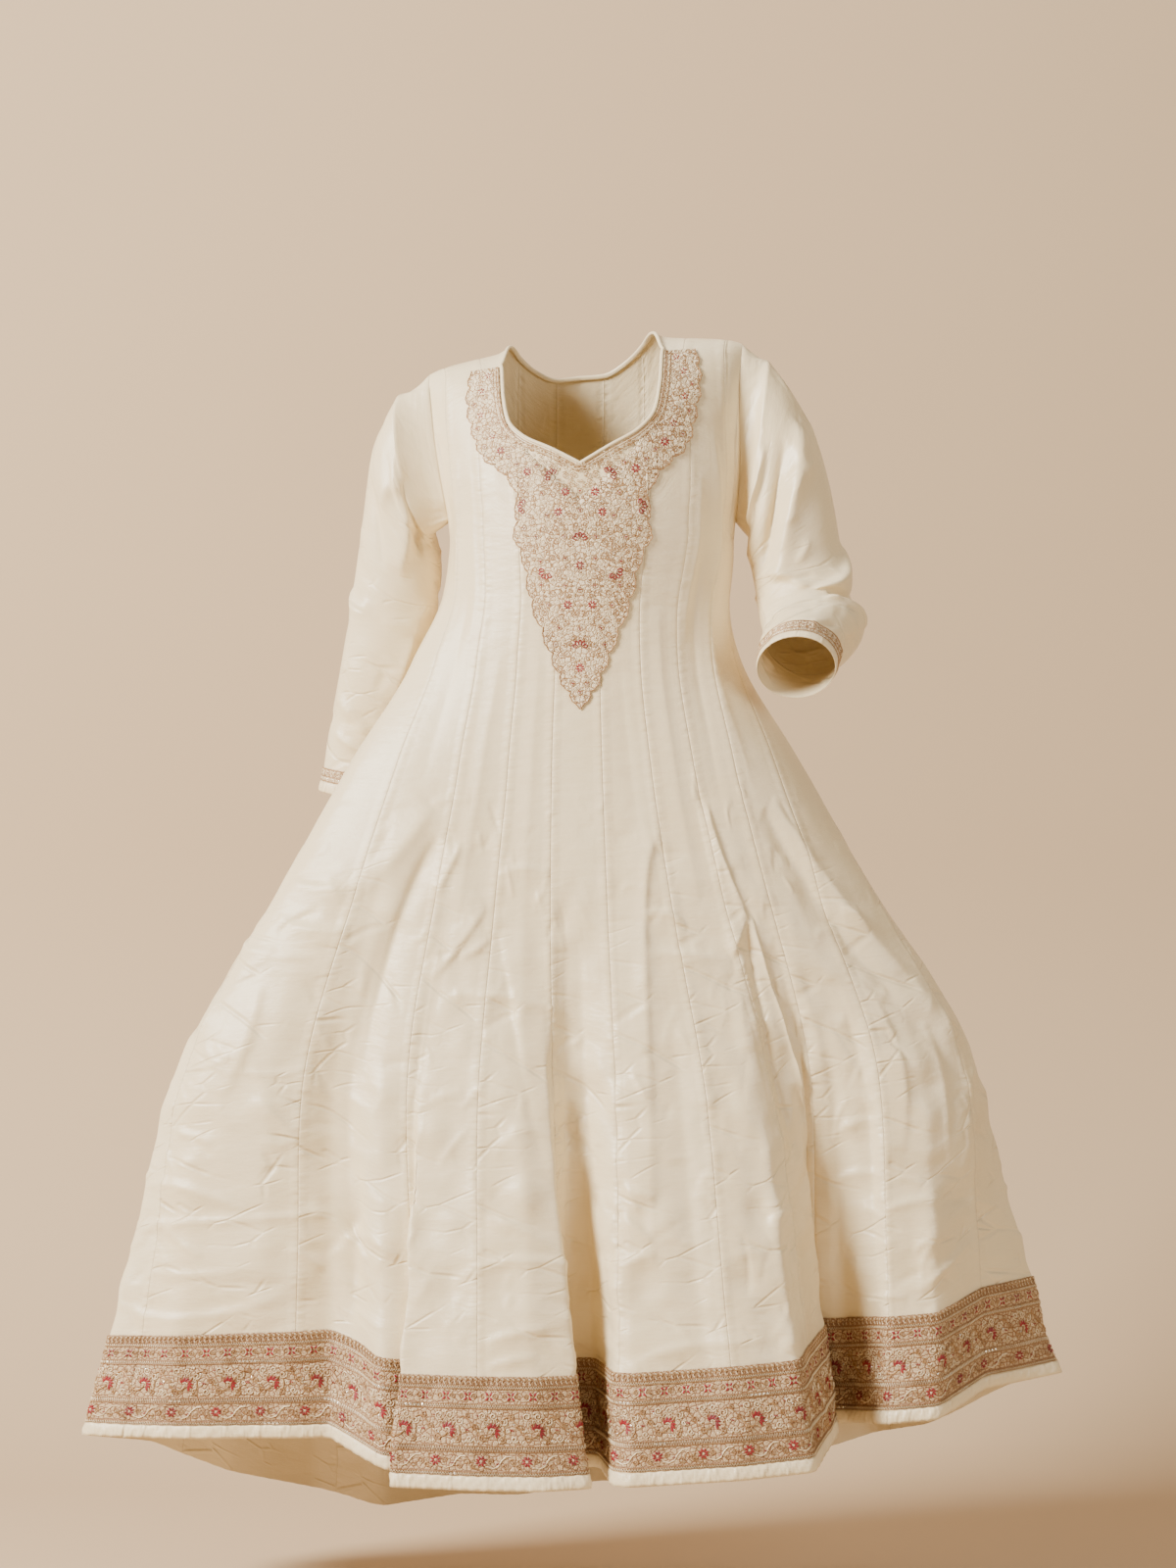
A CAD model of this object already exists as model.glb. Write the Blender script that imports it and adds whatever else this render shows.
# Ivory silk anarkali gown: eighteen kalis, set-in sleeves, embroidered yoke, hem border and cuffs.
import math

import bpy
import numpy as np
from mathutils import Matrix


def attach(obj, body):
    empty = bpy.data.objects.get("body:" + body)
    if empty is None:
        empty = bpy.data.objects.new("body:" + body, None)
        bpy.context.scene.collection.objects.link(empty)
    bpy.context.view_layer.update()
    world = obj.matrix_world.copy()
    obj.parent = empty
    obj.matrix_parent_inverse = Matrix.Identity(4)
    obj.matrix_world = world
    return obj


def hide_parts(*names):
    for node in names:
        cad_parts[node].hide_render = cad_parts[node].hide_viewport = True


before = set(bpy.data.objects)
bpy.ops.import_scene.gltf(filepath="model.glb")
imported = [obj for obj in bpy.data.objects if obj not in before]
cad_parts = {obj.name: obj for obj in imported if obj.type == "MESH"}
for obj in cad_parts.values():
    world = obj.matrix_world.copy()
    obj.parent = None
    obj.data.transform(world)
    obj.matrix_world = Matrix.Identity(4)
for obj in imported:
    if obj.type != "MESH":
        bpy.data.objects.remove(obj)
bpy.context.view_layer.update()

rng = np.random.default_rng(7)

# The worn form, in metres: the same sections, seams and folds as the solids.
form = {
    "ringZ": -0.215,
    "kaliCount": 18,
    "neckPoint": 2.2,
    "armhole": (3.75, 5.25),
    "columnsPerKali": 36,
    "upperSteps": 40,
    "skirtSteps": 255,
    "borderSteps": 20,
    "borderHeight": 0.110,
    "hemEdge": 0.015,
    "hemZ": -1.294,  # the front hem near its middle
    "bustToHip": 0.3,  # share of the skirt's height above the hip
    "foldRound": 0.085,  # how far a fold's edge is rounded, in kalis
}

sectionRows = [
    # t, halfWidth, front, back, sideLeft, sideRight, middle
    (0.00, 0.1675, 0.112, 0.095, 0.000, 0.000, 0.000),
    (0.06, 0.1690, 0.108, 0.090, 0.000, 0.000, -0.001),
    (0.14, 0.1940, 0.104, 0.088, -0.012, 0.000, -0.004),
    (0.25, 0.2590, 0.108, 0.092, -0.036, -0.004, -0.007),
    (0.40, 0.3440, 0.120, 0.105, -0.062, -0.008, -0.008),
    (0.62, 0.4700, 0.140, 0.125, -0.085, -0.008, -0.006),
    (0.80, 0.5160, 0.155, 0.138, -0.088, -0.004, -0.003),
    (1.00, 0.5760, 0.170, 0.150, -0.090, 0.000, 0.000),
]

seamRows = [
    # s, degrees from the centre front at the bust, hip and hem
    (-4.5, -90.0, -85.0, -74.0),
    (-3.5, -67.0, -49.0, -35.0),
    (-2.5, -45.0, -29.0, -21.0),
    (-1.5, -26.0, -16.0, -11.5),
    (-0.5, -9.4, -5.0, -1.0),
    (0.5, 9.4, 7.0, 5.0),
    (1.5, 26.0, 19.5, 18.0),
    (2.5, 45.0, 31.0, 27.0),
    (3.5, 67.0, 43.0, 31.0),
    (4.5, 90.0, 60.0, 38.0),
    (5.5, 113.0, 88.0, 62.0),
    (6.5, 135.0, 117.0, 100.0),
    (7.5, 154.0, 143.0, 131.0),
    (8.5, 170.6, 164.0, 155.0),
    (9.5, 189.4, 185.0, 179.0),
    (10.5, 206.0, 205.0, 202.0),
    (11.5, 225.0, 225.0, 225.0),
    (12.5, 247.0, 249.0, 252.0),
]

foldRows = [
    # s, x, y, z at the hem, and the height t where the fold leaves the cone
    (-4.82, -0.578, -0.080, -1.254, 0.50),
    (-4.20, -0.470, -0.120, -1.252, 0.45),
    (-3.50, -0.324, -0.124, -1.251, 0.40),
    (-3.27, -0.284, -0.118, -1.250, 0.33),
    (-2.76, -0.222, -0.180, -1.277, 0.46),
    (-2.44, -0.168, -0.176, -1.281, 0.50),
    (-2.20, -0.2145, -0.205, -1.292, 0.46),
    (-1.50, -0.113, -0.219, -1.294, 0.40),
    (-1.00, -0.043, -0.219, -1.295, 0.40),
    (-0.73, 0.015, -0.206, -1.294, 0.40),
    (-0.50, -0.006, -0.166, -1.290, 0.38),
    (-0.19, -0.014, -0.112, -1.286, 0.36),
    (0.00, 0.022, -0.108, -1.286, 0.36),
    (0.44, 0.0385, -0.196, -1.292, 0.38),
    (0.60, 0.055, -0.209, -1.292, 0.38),
    (1.50, 0.181, -0.216, -1.283, 0.40),
    (2.20, 0.261, -0.199, -1.277, 0.44),
    (2.60, 0.281, -0.126, -1.264, 0.42),
    (2.90, 0.300, -0.066, -1.250, 0.40),
    (3.40, 0.262, -0.038, -1.246, 0.40),
    (3.75, 0.312, -0.050, -1.244, 0.42),
    (4.50, 0.351, -0.124, -1.235, 0.45),
    (5.00, 0.408, -0.134, -1.228, 0.45),
    (5.50, 0.470, -0.058, -1.204, 0.62),
    (6.07, 0.569, 0.004, -1.194, 0.50),
    (6.60, 0.520, 0.082, -1.218, 0.45),
    (7.20, 0.420, 0.098, -1.270, 0.42),
    (7.62, 0.362, 0.160, -1.290, 0.36),
    (8.10, 0.280, 0.112, -1.308, 0.40),
    (8.60, 0.192, 0.166, -1.325, 0.34),
    (9.10, 0.105, 0.124, -1.340, 0.40),
    (9.62, 0.020, 0.176, -1.352, 0.33),
    (10.12, -0.068, 0.126, -1.360, 0.38),
    (10.60, -0.152, 0.172, -1.368, 0.35),
    (11.20, -0.240, 0.120, -1.372, 0.42),
    (11.62, -0.324, 0.158, -1.358, 0.36),
    (12.18, -0.425, 0.096, -1.326, 0.44),
    (12.70, -0.515, 0.082, -1.288, 0.42),
]

frontEdgeRows = [
    # s, x, z of half the upper edge in front
    (0.00, 0.000, -0.138),
    (0.50, 0.033, -0.119),
    (1.00, 0.067, -0.100),
    (1.40, 0.085, -0.078),
    (1.80, 0.091, -0.047),
    (2.20, 0.095, -0.006),
    (2.50, 0.118, -0.006),
    (3.50, 0.163, -0.013),
    (3.75, 0.183, -0.018),
    (3.85, 0.1795, -0.055),
    (3.97, 0.1775, -0.098),
    (4.10, 0.1750, -0.138),
    (4.22, 0.1720, -0.166),
    (4.34, 0.1700, -0.184),
    (4.43, 0.1693, -0.190),
    (4.50, 0.1695, -0.192),
]

backEdgeRows = [
    # kalis from the centre back, spread out from the middle, turn over the shoulder
    (0.00, 0.000, 126.0),
    (0.50, 0.147, 125.0),
    (1.00, 0.279, 119.0),
    (1.50, 0.379, 108.0),
    (1.90, 0.437, 90.0),
    (2.20, 0.500, 65.5),
    (3.75, 0.963, 67.5),
    (3.85, 0.968, 92.0),
    (3.97, 0.970, 122.0),
    (4.10, 0.973, 146.0),
    (4.22, 0.980, 160.0),
    (4.34, 0.990, 169.0),
    (4.43, 0.996, 172.8),
    (4.50, 1.000, 174.2),
]

crestRows = [
    # spread, z of the top of the shoulder
    (0.00, 0.0340),
    (0.43, 0.0220),
    (0.52, 0.0146),
    (0.70, 0.0100),
    (0.88, 0.0045),
    (1.00, -0.0040),
]

chestRows = [
    # z, half-width of the chest
    (-0.215, 0.1675),
    (-0.192, 0.1695),
    (-0.166, 0.1746),
    (-0.138, 0.1785),
    (-0.098, 0.1820),
    (-0.055, 0.1860),
    (-0.018, 0.1900),
    (0.035, 0.1920),
]


yokeRows = [
    # along the neckline from the centre front, outer edge x, z
    (0.00, 0.000, -0.420),
    (0.10, 0.020, -0.385),
    (0.20, 0.036, -0.345),
    (0.30, 0.056, -0.290),
    (0.38, 0.064, -0.250),
    (0.45, 0.076, -0.216),
    (0.52, 0.073, -0.176),
    (0.60, 0.090, -0.144),
    (0.70, 0.115, -0.120),
    (0.80, 0.127, -0.085),
    (0.90, 0.133, -0.045),
    (1.00, 0.130, -0.0085),
]


def curveThrough(rows, column, key=0):
    # Monotone cubic through the rows, as a function of an array.
    xs = np.array([row[key] for row in rows], float)
    ys = np.array([row[column] for row in rows], float)
    chords = np.diff(ys) / np.diff(xs)
    slopes = np.concatenate([chords[:1], np.zeros(len(xs) - 2), chords[-1:]])
    both = chords[:-1] + chords[1:]
    safe = np.where(both == 0, 1.0, both)
    slopes[1:-1] = np.where(chords[:-1] * chords[1:] > 0, 2 * chords[:-1] * chords[1:] / safe, 0.0)

    def at(x):
        x = np.clip(x, xs[0], xs[-1])
        i = np.clip(np.searchsorted(xs, x, side="right") - 1, 0, len(xs) - 2)
        h = xs[i + 1] - xs[i]
        u = (x - xs[i]) / h
        value = ys[i] * (1 + 2 * u) * (1 - u) ** 2 + ys[i + 1] * u * u * (3 - 2 * u)
        return value + slopes[i] * h * u * (1 - u) ** 2 + slopes[i + 1] * h * u * u * (u - 1)

    return at


def ease(value):
    value = np.clip(value, 0.0, 1.0)
    return value * value * (3 - 2 * value)


def goingRound(rows, turn):
    # The rows three times over, so that curves run on round the body.
    count = form["kaliCount"]
    before = [(row[0] - count, *(value - turn for value in row[1:])) for row in rows]
    after = [(row[0] + count, *(value + turn for value in row[1:])) for row in rows]
    return before + list(rows) + after


def roundedFold(rows, column):
    # Straight between fold lines, with each fold's edge rounded off.
    xs = np.array([row[0] for row in rows])
    ys = np.array([row[column] for row in rows])
    offsets = np.linspace(-1, 1, 9)
    weights = (1 - np.abs(offsets)) + 0.08
    weights /= weights.sum()

    def at(s):
        reach = form["foldRound"]
        return sum(w * np.interp(s + reach * offset, xs, ys) for offset, w in zip(offsets, weights))

    return at


foldsAround = goingRound(foldRows, 0.0)
hemAt = [roundedFold(foldsAround, column) for column in (1, 2, 3)]
riseAt = roundedFold(foldsAround, 4)
seamsAround = goingRound(seamRows, 360.0)
seamAt = [curveThrough(seamsAround, column) for column in (1, 2, 3)]
sectionAt = [None] + [curveThrough(sectionRows, column) for column in range(1, 7)]
crestAt = curveThrough(crestRows, 1)
chestAt = curveThrough(chestRows, 1)


def homeTurn(s):
    first = foldRows[0][0]
    return (s - first) % form["kaliCount"] + first


def coneAngle(s, t):
    above, below = form["bustToHip"], 1 - form["bustToHip"]
    bust, hip, hem = (at(s) for at in seamAt)
    upper, lower = (hip - bust) / above, (hem - hip) / below
    both = np.where(upper + lower == 0, 1.0, upper + lower)
    middle = np.where(upper * lower > 0, 2 * upper * lower / both, 0.0)
    u = np.clip(t / above, 0, 1)
    high = bust * (1 + 2 * u) * (1 - u) ** 2 + hip * u * u * (3 - 2 * u)
    high += above * (upper * u * (1 - u) ** 2 + middle * u * u * (u - 1))
    u = np.clip((t - above) / below, 0, 1)
    low = hip * (1 + 2 * u) * (1 - u) ** 2 + hem * u * u * (3 - 2 * u)
    low += below * (middle * u * (1 - u) ** 2 + lower * u * u * (u - 1))
    return np.radians(np.where(t < above, high, low))


def conePoint(s, t):
    angle = coneAngle(s, t)
    across, along = np.sin(angle), np.cos(angle)
    depth = np.where(along > 0, sectionAt[2](t), sectionAt[3](t))
    side = np.where(across > 0, sectionAt[5](t), sectionAt[4](t)) * across * across
    z = form["ringZ"] + t * (hemAt[2](s) - form["ringZ"])
    return np.stack((sectionAt[6](t) + sectionAt[1](t) * across, side - depth * along, z), -1)


def skirtPoint(s, t):
    s = homeTurn(s)
    rise = riseAt(s)
    share = np.clip((t - rise) / (1 - rise), 0.0, 1.0)
    share = share * share * 1.12 / (share + 0.12)  # the fold opens softly at its top
    hem = np.stack([at(s) for at in hemAt], -1)
    return conePoint(s, t) + (hem - conePoint(s, np.ones_like(t))) * share[..., None]


def chestPoint(spread, turn):
    height = crestAt(np.abs(spread)) - form["ringZ"]
    z = form["ringZ"] + height * np.sin(turn)
    depth = np.where(turn < math.pi / 2, sectionRows[0][2], sectionRows[0][3])
    hollow = np.sqrt(np.maximum(1 - spread * spread, 0.0))
    return np.stack((chestAt(z) * spread, -depth * hollow * np.cos(turn), z), -1)


def placeOnChest(x, z):
    spread = np.clip(x / chestAt(z), -1.0, 1.0)
    height = crestAt(np.abs(spread)) - form["ringZ"]
    return spread, np.arcsin(np.clip((z - form["ringZ"]) / height, -1.0, 1.0))


def upperEdge(s):
    front = s <= 4.5
    away = np.where(front, np.abs(s), np.abs(s - 9))
    x = curveThrough(frontEdgeRows, 1)(away)
    z = curveThrough(frontEdgeRows, 2)(away)
    frontSpread, frontTurn = placeOnChest(x, z)
    onFront = front | ((away >= form["neckPoint"]) & (away <= form["armhole"][0]))
    spread = np.where(onFront, frontSpread, curveThrough(backEdgeRows, 1)(away))
    turn = np.where(onFront, frontTurn, np.radians(curveThrough(backEdgeRows, 2)(away)))
    toRight = np.where(front, s >= 0, s <= 9)
    return np.arcsin(np.where(toRight, spread, -spread)), turn


def upperPoint(s, v):
    s = (s + 4.5) % form["kaliCount"] - 4.5
    angle, turn = upperEdge(s)
    foot = np.arcsin(np.sin(coneAngle(s, np.zeros_like(v))))
    footTurn = np.where(s <= 4.5, 0.0, math.pi)
    return chestPoint(np.sin(foot + (angle - foot) * -v), footTurn + (turn - footTurn) * -v)


def pose(points):
    x, y, z = (points[..., k].copy() for k in range(3))
    bust = ease((z + 0.36) / 0.14)
    x += 0.014 * np.minimum((x / 0.17) ** 2, 1.0) * bust * (1 - 0.55 * ease((z + 0.19) / 0.15))
    z += 0.10 * x * ease((z + 0.21) / 0.17)
    return np.stack((x, y, z), -1)


def bodyPoint(s, v):
    # v = -1 at the upper edge, 0 at the bust ring, 1 at the hem.
    s, v = np.broadcast_arrays(np.asarray(s, float), np.asarray(v, float))
    upper = upperPoint(s, np.minimum(v, 0.0))
    skirt = skirtPoint(s, np.maximum(v, 0.0))
    return pose(np.where(v[..., None] < 0, upper, skirt))


def unit(vectors):
    return vectors / np.maximum(np.linalg.norm(vectors, axis=-1, keepdims=True), 1e-12)


def gridNormals(points, closed=False, flip=False):
    # Outward normals of a grid whose rows run down and whose columns run to the right.
    if closed:
        across = np.roll(points, -1, axis=1) - np.roll(points, 1, axis=1)
    else:
        across = np.gradient(points, axis=1)
    down = np.gradient(points, axis=0)
    normals = unit(np.cross(down, across))
    return -normals if flip else normals


# Creases: soft troughs (-) and ridges (+), each along three places on the cloth.
creases = {
    "wrinkleCount": 900,  # small seeded ones besides those in the table
    "boldness": 1.9,
    "tightness": 0.92,
    "narrow": 0.006,
    "sleeveBoldness": 3.0,
    "reach": 3.2,  # how far a crease spreads, in its own widths
    "swell": 0.0016,  # slow rise and fall of the whole skirt
    "swellCells": (34, 72),
    "yokeClear": 0.022,  # the cloth lies smooth this far past the yoke
    "yokeFade": 0.016,
    "shoulderFade": 0.12,
    "seamDip": 0.0004,
    "seamWidth": 0.0030,
    "seamClear": 0.006,
    "upperLength": 0.14,  # about how much cloth lies above the bust ring
    "skirtLength": 1.08,  # and below it
    "kaliSpan": 0.1,  # about how wide a kali is
}

creaseRows = [
    # s, t at three places, width mm, depth mm, skew
    (-2.80, 0.30, -3.10, 0.35, -3.42, 0.40, 22, 4.5, 0.3),
    (-2.62, 0.33, -2.92, 0.42, -3.00, 0.60, 14, -5.0, -0.5),
    (-3.02, 0.68, -3.05, 0.78, -3.15, 0.89, 13, -3.5, 0.3),
    (-2.25, 0.335, -2.35, 0.36, -2.50, 0.39, 8, 2.4, 0.4),
    (-1.65, 0.40, -2.00, 0.44, -2.38, 0.48, 8, 2.4, 0.6),
    (-1.55, 0.435, -1.75, 0.447, -1.98, 0.452, 6, 1.8, 0.4),
    (-4.25, 0.385, -3.85, 0.394, -3.45, 0.388, 6, 2.0, 0.6),
    (-4.15, 0.425, -3.80, 0.440, -3.45, 0.438, 6, 2.0, 0.6),
    (-4.08, 0.445, -3.95, 0.430, -3.78, 0.418, 5, -1.6, 0.3),
    (-4.70, 0.450, -4.35, 0.462, -4.00, 0.463, 6, 1.8, 0.5),
    (-4.00, 0.500, -3.93, 0.565, -4.02, 0.625, 7, 2.2, 0.7),
    (-3.80, 0.625, -3.66, 0.645, -3.50, 0.675, 6, 1.8, 0.4),
    (-4.45, 0.663, -4.25, 0.666, -4.05, 0.675, 5, 1.5, 0.4),
    (-1.50, 0.363, -1.00, 0.358, -0.50, 0.363, 5, 1.2, 0.4),
    (-2.20, 0.500, -1.40, 0.492, -0.25, 0.513, 6, 1.5, 0.5),
    (-1.45, 0.425, -1.10, 0.520, -0.80, 0.690, 12, -2.2, 0.4),
    (1.50, 0.335, 1.02, 0.430, 0.85, 0.780, 13, 3.6, 0.5),
    (1.05, 0.413, 1.35, 0.408, 1.70, 0.425, 5, 1.6, 0.5),
    (1.00, 0.450, 1.70, 0.455, 2.35, 0.463, 6, 1.8, 0.6),
    (2.62, 0.300, 2.66, 0.350, 2.90, 0.425, 8, 3.0, 0.5),
    (2.90, 0.425, 2.70, 0.440, 2.35, 0.463, 7, 2.6, 0.6),
    (2.85, 0.425, 2.62, 0.560, 2.75, 0.690, 12, -5.0, 0.3),
    (3.00, 0.425, 2.98, 0.560, 3.30, 0.690, 9, 4.0, 0.4),
    (3.90, 0.310, 4.55, 0.440, 5.40, 0.640, 26, -5.0, 0.3),
    (4.15, 0.300, 4.85, 0.430, 5.60, 0.600, 20, 3.5, 0.2),
    (4.70, 0.425, 4.85, 0.432, 5.00, 0.450, 6, 1.8, 0.5),
    (3.70, 0.675, 4.05, 0.662, 4.45, 0.663, 7, 2.2, 0.5),
    (5.40, 0.650, 5.44, 0.690, 5.34, 0.740, 9, 3.5, 0.8),
    (5.15, 0.560, 5.20, 0.640, 5.10, 0.720, 8, 2.2, 0.5),
    (4.70, 0.520, 4.78, 0.610, 4.70, 0.700, 9, 2.0, 0.4),
    (-4.80, 0.725, -4.30, 0.722, -3.80, 0.752, 6, 1.9, 0.6),
    (-4.75, 0.765, -4.00, 0.760, -3.20, 0.750, 6, 2.0, 0.5),
    (-3.38, 0.748, -3.15, 0.770, -2.93, 0.792, 6, 2.2, 0.5),
    (-2.98, 0.738, -3.15, 0.770, -3.32, 0.802, 6, -2.0, 0.5),
    (-3.55, 0.788, -3.45, 0.800, -3.32, 0.814, 6, 2.0, 0.5),
    (-2.92, 0.762, -2.75, 0.768, -2.58, 0.778, 5, 1.6, 0.4),
    (-4.80, 0.850, -4.20, 0.868, -3.55, 0.838, 7, 2.2, 0.5),
    (-4.60, 0.815, -4.20, 0.820, -3.80, 0.812, 6, 1.3, 0.4),
    (-1.40, 0.725, -1.10, 0.732, -0.80, 0.750, 6, 1.7, 0.5),
    (-1.75, 0.790, -1.10, 0.766, -0.35, 0.785, 6, 2.0, 0.5),
    (-1.42, 0.850, -1.15, 0.840, -0.90, 0.838, 5, 1.7, 0.5),
    (-1.42, 0.876, -1.20, 0.868, -0.98, 0.864, 5, 1.6, 0.5),
    (0.56, 0.722, 0.70, 0.735, 0.85, 0.752, 6, 2.0, 0.6),
    (0.50, 0.778, 0.68, 0.768, 0.88, 0.762, 6, 2.0, 0.6),
    (0.56, 0.690, 0.72, 0.700, 0.90, 0.705, 5, 1.6, 0.5),
    (0.65, 0.876, 1.15, 0.860, 1.70, 0.862, 7, 2.0, 0.5),
    (2.12, 0.738, 2.35, 0.733, 2.55, 0.740, 6, 1.8, 0.5),
    (3.70, 0.726, 4.05, 0.718, 4.45, 0.724, 6, 1.8, 0.5),
    (4.45, 0.765, 4.80, 0.755, 5.12, 0.762, 6, 2.0, 0.5),
    (4.80, 0.855, 5.10, 0.838, 5.38, 0.822, 6, 2.0, 0.5),
    (4.10, 0.865, 4.40, 0.858, 4.70, 0.862, 5, 1.6, 0.5),
    (-3.02, 0.42, -3.12, 0.66, -3.00, 0.95, 32, -9.0, -0.3),
    (-3.80, 0.48, -3.72, 0.70, -3.74, 0.95, 30, 4.0, 0.3),
    (3.62, 0.46, 3.66, 0.68, 3.60, 0.95, 26, 4.0, 0.3),
    (4.20, 0.50, 4.28, 0.70, 4.24, 0.94, 28, -5.0, 0.3),
    (-0.98, 0.50, -1.00, 0.72, -1.04, 0.95, 30, 3.0, 0.2),
    (1.20, 0.52, 1.24, 0.74, 1.30, 0.96, 28, -4.0, 0.2),
    # long soft rolls below the bust, and pulls towards the waist seams
    (-1.95, 0.13, -2.10, 0.30, -2.15, 0.52, 20, 1.6, 0.2),
    (-0.95, 0.12, -0.98, 0.34, -1.02, 0.60, 24, 1.2, 0.2),
    (0.98, 0.14, 1.05, 0.24, 1.10, 0.34, 18, -1.0, 0.3),
    (1.98, 0.08, 2.02, 0.22, 1.98, 0.42, 18, 1.5, 0.3),
    (2.95, 0.02, 3.02, 0.16, 2.95, 0.30, 16, -1.6, 0.3),
    (3.45, 0.05, 3.62, 0.16, 3.80, 0.30, 16, 1.5, 0.3),
    (-3.00, 0.02, -3.02, 0.15, -3.05, 0.28, 16, -1.4, 0.3),
    (-3.95, 0.05, -4.05, 0.20, -4.10, 0.36, 20, 1.8, 0.2),
    (-3.60, -0.55, -3.90, -0.30, -4.20, 0.02, 11, -2.6, 0.4),
    (-3.20, -0.40, -3.35, -0.15, -3.60, 0.05, 9, 1.8, 0.4),
    (3.55, -0.60, 3.85, -0.30, 4.15, 0.00, 11, -2.8, 0.4),
    (3.10, -0.45, 3.30, -0.18, 3.55, 0.06, 9, 2.0, 0.4),
    (-2.75, -0.30, -2.80, 0.00, -2.70, 0.12, 9, 1.6, 0.3),
    (2.72, -0.25, 2.78, 0.00, 2.70, 0.12, 9, 1.6, 0.3),
    # the back and the sides
    (6.10, 0.46, 6.55, 0.50, 7.05, 0.49, 8, 2.4, 0.5),
    (6.30, 0.62, 6.75, 0.64, 7.20, 0.62, 7, 2.2, 0.5),
    (7.10, 0.40, 7.35, 0.52, 7.40, 0.66, 12, 3.6, 0.3),
    (7.90, 0.72, 8.35, 0.70, 8.80, 0.73, 7, 2.0, 0.5),
    (8.05, 0.44, 8.50, 0.46, 9.00, 0.44, 7, 1.9, 0.5),
    (8.85, 0.30, 8.90, 0.46, 8.95, 0.66, 15, -3.2, 0.3),
    (9.20, 0.56, 9.75, 0.54, 10.30, 0.57, 7, 2.0, 0.5),
    (9.40, 0.79, 9.90, 0.77, 10.40, 0.80, 7, 2.2, 0.5),
    (9.95, 0.24, 9.90, 0.40, 9.80, 0.58, 14, 3.0, 0.3),
    (10.70, 0.36, 11.10, 0.39, 11.50, 0.37, 7, 2.1, 0.5),
    (10.90, 0.66, 11.30, 0.65, 11.80, 0.68, 7, 2.0, 0.5),
    (11.30, 0.34, 11.55, 0.48, 11.62, 0.64, 13, -3.4, 0.3),
    (11.90, 0.46, 12.30, 0.49, 12.75, 0.47, 8, 2.4, 0.5),
    (12.10, 0.72, 12.60, 0.74, 13.00, 0.71, 8, 2.3, 0.5),
    (12.60, 0.56, 12.95, 0.58, 13.25, 0.55, 7, 2.0, 0.5),
    (5.80, 0.30, 6.10, 0.42, 6.35, 0.60, 16, -3.4, 0.3),
    (8.20, -0.70, 9.00, -0.62, 9.80, -0.70, 8, 1.6, 0.4),
    (7.60, 0.05, 9.00, 0.08, 10.40, 0.05, 9, 1.8, 0.4),
    (5.60, -0.40, 6.20, -0.20, 6.60, 0.06, 10, -2.2, 0.4),
    (12.40, -0.40, 11.80, -0.20, 11.40, 0.06, 10, -2.2, 0.4),
]


def clothHeight(v):
    # Metres down the cloth from the bust ring.
    return np.where(v < 0, v * creases["upperLength"], v * creases["skirtLength"])


def kaliWidthAt(v):
    return 0.058 + 0.127 * np.clip(v, 0.0, 1.0)


def creaseShape(near, side, skew):
    # A soft crest with one flank steeper than the other.
    flank = near * (1 + skew * side)
    return np.exp(0.45 - np.sqrt(flank * flank * 1.9 + 0.2025))


def addCrease(relief, s, v, row):
    # s is one row of column places, v the grid of heights; relief is changed in place.
    ends = np.array(row[:6]).reshape(3, 2)
    width, depth, skew = row[6] / 1000 * creases["tightness"], row[7] / 1000, row[8]
    places = np.linspace(0, 1, 13)[:, None]
    middle = 2 * ends[1] - (ends[0] + ends[2]) / 2
    path = ends[0] * (1 - places) ** 2 + 2 * middle * places * (1 - places) + ends[2] * places**2
    scale = kaliWidthAt(path[:, 1].mean())
    line = np.stack((path[:, 0] * scale, clothHeight(path[:, 1])), -1)
    reach = creases["reach"] * width
    depth *= creases["boldness"] * np.clip(creases["narrow"] / width, 0.7, 1.5)
    halfRound = form["kaliCount"] / 2
    offset = (s - path[:, 0].mean() + halfRound) % form["kaliCount"] - halfRound
    x = (offset + path[:, 0].mean()) * scale
    columns = np.where((x > line[:, 0].min() - reach) & (x < line[:, 0].max() + reach))[0]
    if not len(columns):
        return
    heights = clothHeight(v[:, columns])
    near = (heights.max(1) > line[:, 1].min() - reach) & (heights.min(1) < line[:, 1].max() + reach)
    rows = np.where(near)[0]
    if not len(rows):
        return
    spot = np.stack((np.broadcast_to(x[columns], (len(rows), len(columns))), heights[rows]), -1)
    start, run = line[:-1], np.diff(line, axis=0)
    away = spot[..., None, :] - start
    along = np.clip((away * run).sum(-1) / (run * run).sum(-1), 0, 1)
    gap = away - along[..., None] * run
    distance = np.linalg.norm(gap, axis=-1)
    best = distance.argmin(-1)[..., None]
    near = np.take_along_axis(distance, best, -1)[..., 0] / width
    side = np.sign(np.take_along_axis(gap[..., 0] * run[:, 1] - gap[..., 1] * run[:, 0], best, -1))
    part = (np.take_along_axis(along, best, -1) + best)[..., 0] / len(run)
    fade = np.sqrt(np.clip(np.sin(math.pi * np.clip(part, 0.0, 1.0)), 0, 1))
    relief[np.ix_(rows, columns)] += depth * creaseShape(near, side[..., 0], skew) * fade


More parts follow.
